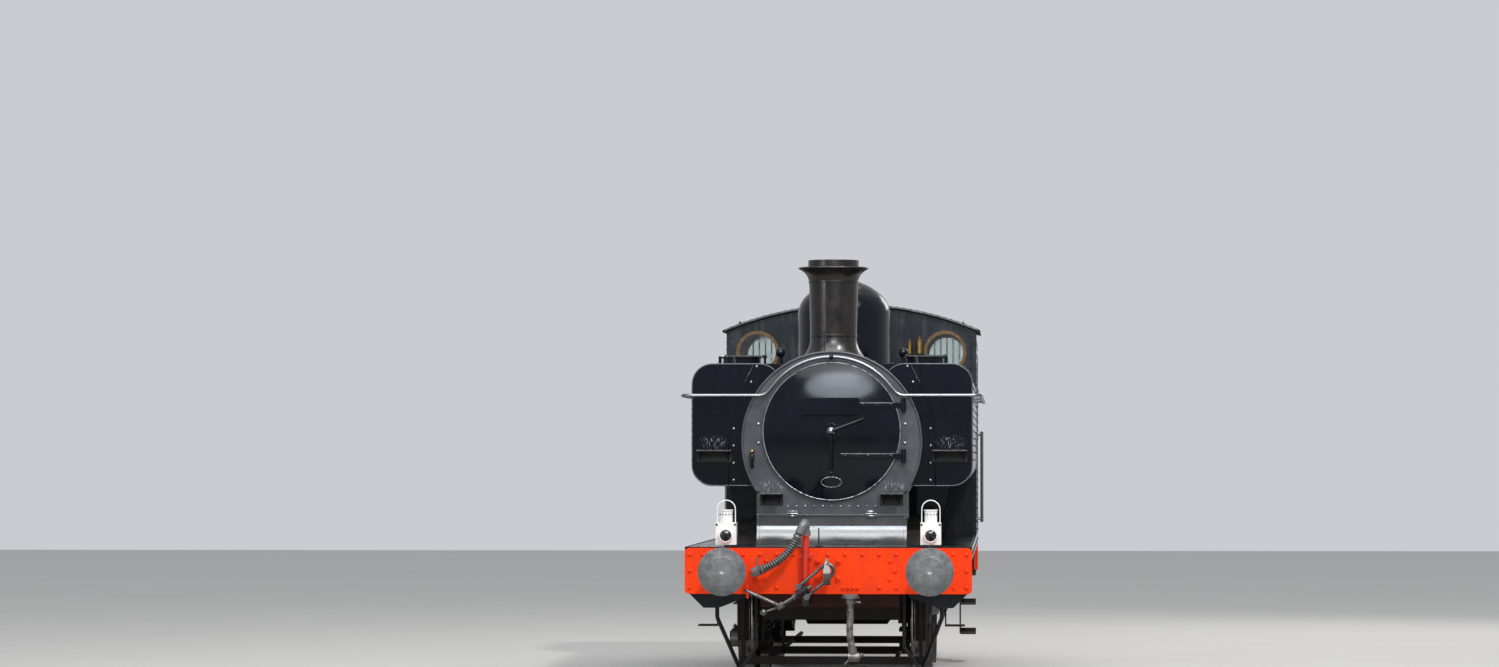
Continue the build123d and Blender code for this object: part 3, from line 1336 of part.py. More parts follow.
# Draw hooks: a square shank through the beam, an open bowl with a rising tip, and a nut behind.
hook_half = 28
hook_collar = 12
hook_reach = 341
with BuildPart() as front_hook:
    with BuildSketch(Plane.YZ.offset(-hook_half)):
        with BuildLine():
            Polyline(
                (beam_front_y - 132, buffer_z - 26),
                (beam_front_y - hook_collar, buffer_z - 26),
                (beam_front_y - hook_collar, buffer_z + 26),
                (beam_front_y - 172, buffer_z + 30),
                (beam_front_y - 187, buffer_z + 21),
            )
            ThreePointArc(
                (beam_front_y - 187, buffer_z + 21),
                (beam_front_y - 234, buffer_z - 26),
                (beam_front_y - 281, buffer_z + 21),
            )
            Polyline(
                (beam_front_y - 281, buffer_z + 21),
                (beam_front_y - 277, buffer_z + 68),
                (beam_front_y - 291, buffer_z + 106),
                (beam_front_y - 315, buffer_z + 88),
                (beam_front_y - hook_reach, buffer_z - 18),
            )
            ThreePointArc(
                (beam_front_y - hook_reach, buffer_z - 18),
                (beam_front_y - 240, buffer_z - 119),
                (beam_front_y - 157, buffer_z - 76),
            )
            Line((beam_front_y - 157, buffer_z - 76), (beam_front_y - 132, buffer_z - 26))
        make_face()
    extrude(amount=2 * hook_half)
    with BuildSketch(Plane.XZ.offset(-beam_front_y + 260)):
        for side in (-1, 1):
            with BuildLine():
                Polyline(
                    (side * 9, buffer_z + 110),
                    (side * (hook_half + 1), buffer_z + 110),
                    (side * (hook_half + 1), buffer_z + 10),
                    (side * hook_half, buffer_z + 10),
                    close=True,
                )
            make_face()
    extrude(amount=100, mode=Mode.SUBTRACT)
    with Locations((0, (beam_front_y - hook_collar + beam_back_y + 110) / 2, buffer_z)):
        Box(hook_shank, beam_back_y + 110 - beam_front_y + hook_collar, hook_shank)
    with Locations(Location((0, beam_back_y + 32, buffer_z), (90, 0, 0))):
        Cylinder(64, 64)
with BuildPart() as draw_hooks:
    add(front_hook.part)
    add(front_hook.part.rotate(Axis.Z, 180))
save("draw_hooks", draw_hooks.part)

# Screw couplings, stowed to one side: a shackle round the hook's shank, its nut, the screw with
# a weighted handle, the second nut, and a link hung on the beam's peg.
link_y = beam_front_y - coupling_reach
shackle_radius, shackle_half = 14, 55
link_radius, link_half = 13, 52
eye_radius, eye_half = 27, 20
trunnion_radius, trunnion_half = 17, 74
nut_radius, nut_half = 34, 52
collar_radius = 25
screw_radius, far_nut_radius, far_nut_half, far_trunnion_half = 16, 30, 30, 72
handle_radius, ball_radius = 10, 29
nut_one = Vector(-212, link_y, rail + 876)
nut_two = Vector(-401, link_y, rail + 757)
stow_end = Vector(stow_x, link_y, stow_z)
shank_centre = Vector(0, link_y, buffer_z)
ball_centre = Vector(-543, link_y - 12, rail + 702)


def loop_of_bar(start, centre, across, half, bar_radius):
    """A bar bent to a U: two arms from the start, and a half circle round the centre."""
    ahead = (centre - start).normalized()
    reach = across * half
    path_points = (start + reach, centre + reach, centre - reach, start - reach)
    with BuildPart() as loop:
        with BuildLine() as loop_path:
            Line(path_points[0], path_points[1])
            ThreePointArc(path_points[1], centre + ahead * half, path_points[2])
            Line(path_points[2], path_points[3])
        with BuildSketch(Plane(path_points[0], z_dir=ahead)):
            Circle(bar_radius)
        sweep(path=loop_path.wires()[0])
    return loop.part


def rod_between(start, end, rod_radius):
    """A round rod from one point to another."""
    with BuildPart() as rod_part:
        with BuildSketch(Plane(start, z_dir=end - start)):
            Circle(rod_radius)
        extrude(amount=(end - start).length)
    return rod_part.part


def round_ball(centre, way, radius):
    """A ball turned about the rod that it ends."""
    with BuildPart() as ball:
        with BuildSketch(Plane(centre, x_dir=way, z_dir=way.cross(Vector(0, 1, 0)))):
            with BuildLine():
                Line((-radius, 0), (radius, 0))
                ThreePointArc((radius, 0), (0, radius), (-radius, 0))
            make_face()
        revolve(axis=Axis(centre, way))
    return ball.part


screw_way = (nut_two - nut_one).normalized()
shackle_way = (nut_one - shank_centre).normalized()
shackle_across = shackle_way.cross(Vector(0, 1, 0))
with BuildPart() as front_coupling:
    add(loop_of_bar(nut_one, shank_centre, shackle_across, shackle_half, shackle_radius))
    for end in (-1, 1):
        eye = nut_one + shackle_across * (end * shackle_half)
        add(rod_between(eye - Vector(0, eye_half, 0), eye + Vector(0, eye_half, 0), eye_radius))
    trunnion = shackle_across * trunnion_half
    far_trunnion = Vector(0, far_trunnion_half, 0)
    add(rod_between(nut_one - trunnion, nut_one + trunnion, trunnion_radius))
    add(rod_between(nut_one - screw_way * nut_half, nut_one + screw_way * nut_half, nut_radius))
    add(rod_between(nut_one - screw_way * 90, nut_two + screw_way * 40, screw_radius))
    add(rod_between(nut_one + screw_way * 50, nut_one + screw_way * 96, collar_radius))
    add(rod_between(nut_two - screw_way * far_nut_half, nut_two + screw_way * far_nut_half, far_nut_radius))
    add(rod_between(nut_two - far_trunnion, nut_two + far_trunnion, trunnion_radius))
    add(loop_of_bar(nut_two, stow_end, Vector(0, 1, 0), link_half, link_radius))
    add(rod_between(nut_two + screw_way * far_nut_half, ball_centre, handle_radius))
    add(round_ball(ball_centre, (ball_centre - nut_two).normalized(), ball_radius))
with BuildPart() as screw_couplings:
    add(front_coupling.part)
    add(front_coupling.part.rotate(Axis.Z, 180))
save("screw_couplings", screw_couplings.part)

# Brake standpipes in front of the beams, each with a swan neck on top.
pipe_x = -190
standpipe_radius, neck_radius, neck_wall = 30, 38, 13
standpipe_y = beam_front_y - standpipe_radius - 8
pipe_start_y = end_stretcher_y - stretcher_thickness / 2
pipe_foot_z, pipe_bend = rail + 772, 80
clip_wall, clip_height, clip_width = 3, 34, 104
neck_foot_z, neck_top_z = rail + 1367, rail + 1455
hose_way = Vector(-0.436, -0.09, -0.895).normalized()
neck_knee = Vector(pipe_x - 8, beam_front_y - 120, neck_top_z)
neck_mouth = neck_knee + hose_way * 96
with BuildPart() as front_standpipe:
    with BuildLine() as standpipe_path:
        FilletPolyline(
            (pipe_x, pipe_start_y, pipe_foot_z),
            (pipe_x, standpipe_y, pipe_foot_z),
            (pipe_x, standpipe_y, neck_foot_z),
            radius=pipe_bend,
        )
    with BuildSketch(Plane((pipe_x, pipe_start_y, pipe_foot_z), z_dir=(0, -1, 0))):
        Circle(standpipe_radius)
    sweep(path=standpipe_path.wires()[0])
    for clip_z in (beam_bottom + 60, plate_under - 70):
        with Locations((pipe_x, standpipe_y, clip_z)):
            Cylinder(standpipe_radius + clip_wall, clip_height)
        with Locations((pipe_x, (standpipe_y + beam_front_y) / 2, clip_z)):
            Box(clip_width, beam_front_y - standpipe_y, clip_height)
    with Locations((pipe_x, standpipe_y, neck_foot_z)):
        Cylinder(neck_radius + 6, 46)
    with BuildLine() as neck_path:
        FilletPolyline(
            (pipe_x, standpipe_y, neck_foot_z),
            (pipe_x, standpipe_y, neck_top_z),
            neck_knee,
            neck_mouth,
            radius=[42, 42],
        )
    with BuildSketch(Plane.XY.offset(neck_foot_z)):
        with Locations((pipe_x, standpipe_y)):
            Circle(neck_radius)
    sweep(path=neck_path.wires()[0])
hose_radius = 35
hose_turns = ((-0.655, 0, -0.755, 128), (-0.815, 0.12, -0.566, 122), (-0.9, 0.25, -0.358, 110))
hose_points = [neck_mouth, neck_mouth + hose_way * 118]
for way_x, way_y, way_z, run in hose_turns:
    hose_points.append(hose_points[-1] + Vector(way_x, way_y, way_z).normalized() * run)
hose_end_way = (hose_points[-1] - hose_points[-2]).normalized()
dummy_end = hose_points[-1] + hose_end_way * 62
rear_mouth = Vector(-neck_mouth.X, -neck_mouth.Y, neck_mouth.Z)
rear_way = Vector(-hose_way.X, -hose_way.Y, hose_way.Z)
with BuildPart() as standpipes:
    add(front_standpipe.part)
    add(front_standpipe.part.rotate(Axis.Z, 180))
    with BuildSketch(Plane(rear_mouth, z_dir=rear_way)):
        Circle(neck_radius - neck_wall)
    extrude(amount=-40, mode=Mode.SUBTRACT)
    add(rod_between(hose_points[-1], dummy_end, hose_radius + 8))
    with Locations((dummy_end.X + 8, (dummy_end.Y + beam_front_y) / 2, dummy_end.Z)):
        Box(56, beam_front_y - dummy_end.Y, 60)
    with Locations((dummy_end.X + 30, dummy_end.Y - 6, dummy_end.Z + 85)):
        Cylinder(9, 90)
save("standpipes", standpipes.part)


def hose_tube(points, tube_radius):
    """A free hose: straight runs joined by arcs as large as the two runs beside each point allow."""
    runs = [(after - before).length for before, after in zip(points, points[1:])]
    corner_radii = []
    for place in range(1, len(points) - 1):
        turn = (points[place] - points[place - 1]).get_angle(points[place + 1] - points[place])
        corner_radii.append(0.45 * min(runs[place - 1], runs[place]) / tan(radians(turn / 2)))
    with BuildPart() as tube:
        with BuildLine() as tube_path:
            FilletPolyline(*points, radius=corner_radii)
        with BuildSketch(Plane(points[0], z_dir=points[1] - points[0])):
            Circle(tube_radius)
        sweep(path=tube_path.wires()[0])
    path_length = tube_path.wires()[0].length
    filled = tube.part.volume / (path_length * pi * tube_radius**2)
    print("hose radii", [round(value) for value in corner_radii])
    print("hose length", round(path_length, 1), "and volume over section times length", round(filled, 4))
    return tube.part


save("vacuum_hose", hose_tube(hose_points, hose_radius))

# Steam heating pipes under the beams, with a flange, and the hose that hangs from the front one.
heating_x, heating_y = 190, beam_front_y - 40
heating_mouth_z = rail + 772
heating_radius = 30
bracket_sheet, bracket_width = 14, 120
pipe_flange_radius, flange_height, union_radius, heating_pipe_radius = 76, 22, 42, 24
flange_z = beam_bottom - bracket_sheet
with BuildPart() as front_heating:
    with Locations((heating_x, (heating_y - 60 + beam_back_y) / 2, beam_bottom - bracket_sheet / 2)):
        Box(bracket_width, beam_back_y - heating_y + 60, bracket_sheet)
    with Locations((heating_x, heating_y, flange_z - flange_height / 2)):
        Cylinder(pipe_flange_radius, flange_height)
    with Locations((heating_x, heating_y, (heating_mouth_z + flange_z) / 2)):
        Cylinder(union_radius, flange_z - heating_mouth_z)
    add(
        rod_between(
            Vector(heating_x, heating_y, heating_mouth_z + 26),
            Vector(heating_x, pipe_start_y, heating_mouth_z + 26),
            heating_pipe_radius,
        )
    )
    add(
        rod_between(
            Vector(heating_x, heating_y, heating_mouth_z + 24),
            Vector(heating_x + 88, heating_y - 26, heating_mouth_z + 12),
            11,
        )
    )
with BuildPart() as heating_pipes:
    add(front_heating.part)
    add(front_heating.part.rotate(Axis.Z, 180))
save("heating_pipes", heating_pipes.part)

heating_steps = ((0, 0, -88), (-6, -3, -100), (2, 4, -96), (16, 6, -80))
heating_points = [Vector(heating_x, heating_y, heating_mouth_z)]
for step_x, step_y, step_z in heating_steps:
    heating_points.append(heating_points[-1] + Vector(step_x, step_y, step_z))
save("heating_hose", hose_tube(heating_points, heating_radius))

heating_end = heating_points[-1]
heating_way = (heating_points[-1] - heating_points[-2]).normalized()
head_centre = heating_end + heating_way * 88
with BuildPart() as hose_coupling:
    add(rod_between(heating_end, heating_end + heating_way * 62, heating_radius + 7))
    add(rod_between(head_centre - Vector(46, 0, 0), head_centre + Vector(46, 0, 0), 40))
    add(rod_between(head_centre + Vector(40, 0, 0), head_centre + Vector(76, 0, 26), 15))
    add(rod_between(head_centre - Vector(30, 0, 10), head_centre - Vector(78, -6, 62), 9))
save("hose_coupling", hose_coupling.part)

# Lamps over the front buffers on their irons, and the bare irons at the middle, on the smokebox and behind.
lamp_width, lamp_depth, lamp_height = 175, 150, 190
lamp_foot = plate_top + 16
lamp_y = beam_front_y + 95
neck_width, neck_height = 106, 99
hoop_half, hoop_radius, hoop_centre_z = 77, 4.5, plate_top + 317
lens_radius, lens_depth, lens_height = 60, 24, 78
iron_width_x, iron_sheet = 50, 10
with BuildPart() as lamps:
    for side in (-1, 1):
        lamp_x = side * buffer_x
        with Locations((lamp_x, lamp_y, lamp_foot + lamp_height / 2)):
            Box(lamp_width, lamp_depth, lamp_height)
        with Locations((lamp_x, lamp_y, lamp_foot + lamp_height + neck_height / 2)):
            Cylinder(neck_width / 2, neck_height)
        with Locations((lamp_x, lamp_y, lamp_foot + lamp_height + neck_height + 5)):
            Cylinder(neck_width / 2 + 6, 10)
        lens_y = lamp_y - (lamp_depth + lens_depth) / 2
        with Locations(Location((lamp_x, lens_y, lamp_foot + lens_height), (90, 0, 0))):
            Cylinder(lens_radius, lens_depth)
        add(
            loop_of_bar(
                Vector(lamp_x, lamp_y, lamp_foot + lamp_height - 5),
                Vector(lamp_x, lamp_y, hoop_centre_z),
                Vector(1, 0, 0),
                hoop_half,
                hoop_radius,
            )
        )
        with Locations((lamp_x, lamp_y + (lamp_depth + iron_sheet) / 2, plate_top + 105)):
            Box(iron_width_x, iron_sheet, 210)
        with Locations((lamp_x, lamp_y + lamp_depth / 2 + 40, plate_top + iron_sheet / 2)):
            Box(iron_width_x, 80, iron_sheet)
        with Locations((lamp_x, bunker_back_y + 22, plate_top + 120)):
            Box(iron_width_x, 44, iron_sheet)
        with Locations((lamp_x, bunker_back_y + 44, plate_top + 170)):
            Box(iron_width_x, iron_sheet, 110)
    with Locations((-81, beam_front_y + 62, plate_top + 80)):
        Box(iron_sheet, iron_width_x, 160)
    with Locations((-81, beam_front_y + 62, plate_top + iron_sheet / 2)):
        Box(60, 60, iron_sheet)
    with Locations((-65, smokebox_front_y + 40, boiler_z + smokebox_radius + 85)):
        Box(iron_sheet, iron_width_x, 174)
save("lamps", lamps.part)

# Two whistles on elbows from the cab front.
whistle_table = ((668, 30, 135), (572, 22, 105))
whistle_y, whistle_z, whistle_pipe_radius = cab_front_y - 95, rail + 2962, 13
with BuildPart() as whistles:
    for whistle_x, bell_radius, bell_height in whistle_table:
        elbow = Vector(whistle_x, whistle_y, whistle_z)
        add(rod_between(Vector(whistle_x, cab_front_y, whistle_z), elbow, whistle_pipe_radius))
        with BuildSketch(Plane.XZ.offset(-whistle_y)):
            with BuildLine():
                Polyline(
                    (whistle_x, whistle_z - 20),
                    (whistle_x + 17, whistle_z - 20),
                    (whistle_x + 17, whistle_z + 22),
                    (whistle_x + 10, whistle_z + 40),
                    (whistle_x + bell_radius, whistle_z + 62),
                    (whistle_x + bell_radius, whistle_z + 62 + bell_height),
                    (whistle_x + 9, whistle_z + 72 + bell_height),
                    (whistle_x + 9, whistle_z + 96 + bell_height),
                    (whistle_x, whistle_z + 96 + bell_height),
                    close=True,
                )
            make_face()
        revolve(axis=Axis((whistle_x, whistle_y, 0), (0, 0, 1)))
save("whistles", whistles.part)

# Fittings in the cab: fire door, shelf, regulator, gauges, reversing lever and hand brake.
cab_floor_z = plate_top + floor_thickness
backhead_y = firebox_back_y
fire_door_z, shelf_z, regulator_z, gauge_z = rail + 1640, rail + 1990, rail + 2430, rail + 2740
gauge_x, gauge_radius, gauge_depth = 300, 85, 50
regulator_radius, regulator_depth, regulator_bar = 68, 80, 15
lever_x, lever_y, lever_radius = -960, firebox_back_y - 15, 14
lever_stand_width, lever_stand_length, lever_stand_height = 56, 300, 480
brake_x, brake_y = 930, cab_back_y - 150
brake_post_radius, brake_post_height, brake_foot_radius, brake_foot_height = 26, 920, 70, 60
brake_bar_half, brake_bar_radius = 110, 13
# Blocks on the backhead: x, stand-off and height of the middle, then the size across, along and up.
backhead_table = (
    (0, 12, fire_door_z, 470, 24, 390),
    (-92, 34, fire_door_z, 180, 20, 300),
    (92, 34, fire_door_z, 180, 20, 300),
    (0, 50, fire_door_z - 172, 440, 52, 14),
    (0, 55, shelf_z, 640, 110, 14),
    (-210, 30, shelf_z + 190, 52, 60, 270),
    (210, 30, shelf_z + 190, 52, 60, 270),
    (0, 32, gauge_z - 60, 380, 64, 90),
)
with BuildPart() as cab_fittings:
    for block_x, stand_off, block_z, across, along, up in backhead_table:
        with Locations((block_x, backhead_y + stand_off, block_z)):
            Box(across, along, up)
    for side in (-1, 1):
        with Locations(Location((side * gauge_x, backhead_y + gauge_depth / 2, gauge_z), (90, 0, 0))):
            Cylinder(gauge_radius, gauge_depth)
    with Locations(Location((0, backhead_y + regulator_depth / 2, regulator_z), (90, 0, 0))):
        Cylinder(regulator_radius, regulator_depth)
    regulator_pivot = Vector(-60, backhead_y + 72, regulator_z - 20)
    regulator_grip = Vector(360, backhead_y + 72, regulator_z + 110)
    add(rod_between(regulator_pivot, regulator_grip, regulator_bar))
    with Locations((lever_x, lever_y, cab_floor_z + lever_stand_height / 2)):
        Box(lever_stand_width, lever_stand_length, lever_stand_height)
    lever_foot = Vector(lever_x, lever_y + 40, cab_floor_z + 400)
    lever_grip = Vector(lever_x, lever_y - 90, cab_floor_z + 980)
    add(rod_between(lever_foot, lever_grip, lever_radius))
    with Locations((brake_x, brake_y, cab_floor_z + brake_post_height / 2)):
        Cylinder(brake_post_radius, brake_post_height)
    with Locations((brake_x, brake_y, cab_floor_z + brake_foot_height / 2)):
        Cylinder(brake_foot_radius, brake_foot_height)
    brake_bar_z = cab_floor_z + brake_post_height - 15
    bar_start = Vector(brake_x - brake_bar_half, brake_y, brake_bar_z)
    bar_end = Vector(brake_x + brake_bar_half, brake_y, brake_bar_z)
    add(rod_between(bar_start, bar_end, brake_bar_radius))
save("cab_fittings", cab_fittings.part)
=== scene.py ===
import functools
import math

import bpy
import numpy as np
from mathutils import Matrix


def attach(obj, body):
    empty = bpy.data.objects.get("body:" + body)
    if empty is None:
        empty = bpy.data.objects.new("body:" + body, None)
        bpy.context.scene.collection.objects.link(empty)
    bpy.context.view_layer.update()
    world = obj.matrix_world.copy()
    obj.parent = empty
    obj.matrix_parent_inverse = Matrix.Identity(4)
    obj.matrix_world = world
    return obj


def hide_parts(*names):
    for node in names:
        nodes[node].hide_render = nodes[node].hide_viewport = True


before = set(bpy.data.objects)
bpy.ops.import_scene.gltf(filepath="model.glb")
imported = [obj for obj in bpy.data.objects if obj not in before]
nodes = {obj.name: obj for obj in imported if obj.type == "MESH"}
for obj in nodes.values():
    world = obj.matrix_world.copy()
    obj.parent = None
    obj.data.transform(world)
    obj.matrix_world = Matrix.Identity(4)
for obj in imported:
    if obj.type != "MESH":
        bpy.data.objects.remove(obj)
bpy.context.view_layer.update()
print("stage: frame loaded,", len(nodes), "nodes")

# All lengths are metres in the frame of the CAD: front is -Y, up is +Z, and the rails lie under the wheels.

# Camera

cameraView = {
    "place": (1.513, -44.165, 2.03),
    "turnLeft": 3.12,       # degrees towards -X
    "tiltUp": 1.52,
    "lens": 113.24,         # on a 36 mm sensor
}
cameraData = bpy.data.cameras.new("trackside")
cameraData.lens = cameraView["lens"]
cameraData.sensor_width = 36.0
cameraData.clip_start, cameraData.clip_end = 0.5, 400.0
camera = bpy.data.objects.new("tracksideCamera", cameraData)
camera.location = cameraView["place"]
camera.rotation_euler = (
    math.radians(90 + cameraView["tiltUp"]), 0.0, math.radians(cameraView["turnLeft"]))
bpy.context.scene.collection.objects.link(camera)
bpy.context.scene.camera = camera
print("stage: camera")


# Finishes

def perMetre(millimetres):
    # a pattern's scale from its real size
    return 1000.0 / millimetres


def linear(hexColour):
    # sRGB hex to linear red, green, blue, alpha
    parts = [int(hexColour[i:i + 2], 16) / 255 for i in (0, 2, 4)]
    return [c / 12.92 if c <= 0.04045 else ((c + 0.055) / 1.055) ** 2.4 for c in parts] + [1.0]


def addNode(tree, kind, *inputs, **named):
    # Names in small letters are the node's settings and other names are its inputs. Values without a name
    # go to the inputs in use, in their order, and another node's output is linked. Gives back the first
    # output in use.
    node = tree.nodes.new("ShaderNode" + kind)
    for setting in [name for name in named if name.islower()]:
        setattr(node, setting, named.pop(setting))
    inUse = [socket for socket in node.inputs if socket.enabled]
    chosen = [(node.inputs[name], value) for name, value in named.items()]
    for socket, value in [*zip(inUse, inputs), *chosen]:
        if isinstance(value, bpy.types.NodeSocket):
            tree.links.new(value, socket)
        else:
            socket.default_value = value
    return next((socket for socket in node.outputs if socket.enabled), None)


def startFinish(name, look):
    # a new material, its even values on the shader's own sockets, addNode for its tree, Object coordinates
    material = bpy.data.materials.new(name)
    material.use_nodes = True
    shader = material.node_tree.nodes["Principled BSDF"]
    evenValues = {
        "Base Color": linear(look["colour"]), "Roughness": look["roughness"], "IOR": look.get("ior", 1.5),
        "Metallic": look.get("metallic", 0.0), "Transmission Weight": look.get("clearness", 0.0),
        "Specular IOR Level": look.get("mirror", 0.5)}
    for socket, value in evenValues.items():
        shader.inputs[socket].default_value = value
    add = functools.partial(addNode, material.node_tree)
    return material, add, add("TexCoord").node.outputs["Object"]


def joinUp(material, sources):
    # each source drives the shader's socket of that name
    tree = material.node_tree
    for socket, source in sources.items():
        tree.links.new(source, tree.nodes["Principled BSDF"].inputs[socket])
    return material


enamel = {
    "colour": "040810", "second": "080D18", "dust": "3B3730", "roughness": 0.12,
    "patch": 420.0, "grit": 9.0, "streak": 60.0, "wave": 380.0, "waveDepth": 0.0013, "peel": 26.0,
    "peelDepth": 0.00012, "dustOnTop": 0.20, "dustLow": 0.26, "dustHeight": 1.3, "dustEven": 0.0,
    "dustStreak": 0.04, "ior": 1.31, "edge": 0.005, "scuffColour": "A9ADB2", "ironColour": "1B1C1F",
}


def paintedPlate(name, **changes):
    # Enamel brushed on plate: a second tone in broad patches, dust lying on upward faces and thrown up near
    # the rail, fine orange peel, the slow waves that riveted plate gives a reflection, and where given pale
    # streaky marks round a step and black irons in place of the paint.
    look = dict(enamel, **changes)
    material, add, place = startFinish(name, look)
    spot = add("SeparateXYZ", place).node.outputs
    mirrored = add("VectorMath", place, operation="ABSOLUTE")
    patches = add("TexNoise", place, perMetre(look["patch"]), 6.0, 0.62)
    grit = add("TexNoise", place, perMetre(look["grit"]), 4.0, 0.7)
    drawnOut = add("Mapping", place, Scale=(1.0, 1.0, 0.12))
    streaks = add("TexNoise", drawnOut, perMetre(look["streak"]), 4.0, 0.65)
    facing = add("SeparateXYZ", add("NewGeometry").node.outputs["Normal"]).node.outputs["Z"]
    lying = add("MapRange", facing, 0.35, 0.95, 0.0, look["dustOnTop"])
    thrown = add("MapRange", spot["Z"], look["dustHeight"], 0.25, 0.0, look["dustLow"])
    both = add("Math", lying, thrown, operation="ADD")
    broken = add("MapRange", patches, 0.36, 0.66, 0.25, 1.0)
    running = add("MapRange", streaks, 0.46, 0.72, look["dustEven"], look["dustEven"] + look["dustStreak"])
    settled = add("Math", both, broken, running, operation="MULTIPLY_ADD")
    gritty = add("MapRange", grit, 0.3, 0.7, 0.55, 1.25)
    dirt = add("Math", settled, gritty, operation="MULTIPLY", use_clamp=True)
    tone = add("MapRange", patches, 0.38, 0.62)
    colour = add("Mix", tone, linear(look["colour"]), linear(look["second"]), data_type="RGBA")
    colour = add("Mix", dirt, colour, linear(look["dust"]), data_type="RGBA")
    if "scuff" in look:
        offset = add("VectorMath", mirrored, look["scuff"], operation="SUBTRACT")
        reach = add("VectorMath", offset, (7.0, 30.0, 14.0), operation="MULTIPLY")
        near = add("MapRange", add("VectorMath", reach, operation="LENGTH"), 0.3, 1.0, 1.0, 0.0)
        slanted = add("Mapping", place, Rotation=(0.0, 0.5, 0.0), Scale=(1.0, 1.0, 0.22))
        cut = add("MapRange", add("TexNoise", slanted, perMetre(9.0), 5.0, 0.7), 0.56, 0.62)
        marked = add("Math", near, cut, operation="MULTIPLY")
        colour = add("Mix", marked, colour, linear(look["scuffColour"]), data_type="RGBA")
    if "ironBehind" in look:
        aside = add("SeparateXYZ", mirrored).node.outputs["X"]
        behindIt = add("MapRange", spot["Y"], look["ironBehind"], look["ironBehind"] + 0.01)
        inside = add("MapRange", aside, look["ironInside"], look["ironInside"] - 0.01)
        iron = add("Math", behindIt, inside, operation="MAXIMUM")
        colour = add("Mix", iron, colour, linear(look["ironColour"]), data_type="RGBA")
    gloss = add("MapRange", patches, 0.3, 0.7, look["roughness"] * 0.75, look["roughness"] * 1.35)
    waves = add("TexNoise", place, perMetre(look["wave"]), 1.0)
    peel = add("TexNoise", place, perMetre(look["peel"]), 2.0)
    softEdges = add("Bevel", look["edge"], samples=4)
    waved = add("Bump", Distance=look["waveDepth"], Height=waves, Normal=softEdges)
    return joinUp(material, {
        "Base Color": colour,
        "Roughness": add("Math", dirt, 0.75, gloss, operation="MULTIPLY_ADD", use_clamp=True),
        "Normal": add("Bump", Distance=look["peelDepth"], Height=peel, Normal=waved)})


scuffs = {"tankStep": (1.035, 3.250, 2.170), "smokeboxStep": (0.525, 3.325, 1.790)}
# gloss black locomotive enamel, brush varnished: deep black with a blue cast and wavy reflections
glossBlackEnamel = paintedPlate("glossBlackEnamel", scuff=scuffs["tankStep"])
# the saddle's apron in the same enamel, polished by cleaners' rags until it mirrors the sky in a bright band,
# and a lighter grey than the black as painted sheen
ragPolishedPaintedSheenEnamel = paintedPlate(
    "ragPolishedPaintedSheenEnamel", colour="1B1C20", second="222327", roughness=0.25, ior=1.9, waveDepth=0.0008)
# the same enamel on the cab front in a lighter blue grey, painted sheen so that chimney and dome stand out
# against it, with streaks of smoke dust
smokeDustAndPaintedSheenEnamel = paintedPlate(
    "smokeDustAndPaintedSheenEnamel", colour="0D1218", second="131921", dust="4C4B49", roughness=0.19, ior=1.33,
    dustEven=0.05, dustStreak=0.16)
# the same enamel on the round beads that edge tanks and roof, painted grey as a highlight so that they
# draw a thin pale outline
paintedHighlightEnamel = paintedPlate(
    "paintedHighlightEnamel", colour="54575C", second="3A3D42", roughness=0.26, ior=1.45, patch=90.0,
    dustStreak=0.1)
# the same enamel on the roof, dulled by soot and rain to a matt brown black
sootyRoofEnamel = paintedPlate(
    "sootyRoofEnamel", colour="131315", second="1B1A1A", dust="3E3B37", roughness=0.66, ior=1.2,
    dustOnTop=0.4)
# heat-resisting smokebox black: a satin graphite grey with faint brown heat marks
smokeboxGraphite = paintedPlate(
    "smokeboxGraphite", colour="383A3F", second="43454A", dust="625C55", roughness=0.38, ior=1.4, patch=260.0,
    grit=5.0, wave=420.0, waveDepth=0.0012, peel=9.0, peelDepth=0.0001, dustEven=0.03, dustStreak=0.10,
    scuff=scuffs["smokeboxStep"])
# cast-iron chimney under heat-resisting black: brownish where it runs hot, with the grain of sand casting
chimneyCasting = paintedPlate(
    "chimneyCasting", colour="100D0D", second="1C1614", dust="3D3630", roughness=0.20, ior=1.42, patch=180.0,
    grit=5.0, wave=260.0, waveDepth=0.0012, peel=7.0, peelDepth=0.00022, dustEven=0.04, dustStreak=0.16)
# orange-red buffer beam enamel: bright, a little chalked, with brown run marks under the rivets
beamRedEnamel = paintedPlate(
    "beamRedEnamel", colour="F54002", second="EA3902", dust="6A2812", roughness=0.38, ior=1.22, patch=200.0,
    grit=6.0, streak=40.0, wave=260.0, waveDepth=0.0012, dustOnTop=0.45, dustLow=0.15, dustStreak=0.14)
# frame black: oily, dusted brown with brake dust and ballast
frameBlackGrime = paintedPlate(
    "frameBlackGrime", colour="0D0D0F", second="141312", dust="38302A", roughness=0.45, patch=150.0, grit=6.0,
    wave=300.0, waveDepth=0.001, peel=5.0, peelDepth=0.00025, dustOnTop=0.5, dustLow=0.35, dustHeight=1.2,
    dustEven=0.06, dustStreak=0.22)
# red oxide primer on the cross members between the frames: dark, dusty and a little oily
redOxidePrimer = paintedPlate(
    "redOxidePrimer", colour="3A1210", second="2A100F", dust="4A3A30", roughness=0.5, patch=160.0, grit=6.0,
    peel=5.0, peelDepth=0.0002, dustOnTop=0.5, dustLow=0.3, dustEven=0.12, dustStreak=0.3)
# white lamp enamel: bright and sooty at the vent, with the irons behind and between the lamps left black
whiteLampEnamel = paintedPlate(
    "whiteLampEnamel", colour="F0F0EE", second="E8E8E4", dust="908A80", roughness=0.26, patch=60.0, grit=3.0,
    streak=14.0, wave=90.0, waveDepth=0.0004, peel=5.0, peelDepth=0.00006, dustOnTop=0.25, dustLow=0.0,
    dustStreak=0.22, ironBehind=2.6, ironInside=0.5)
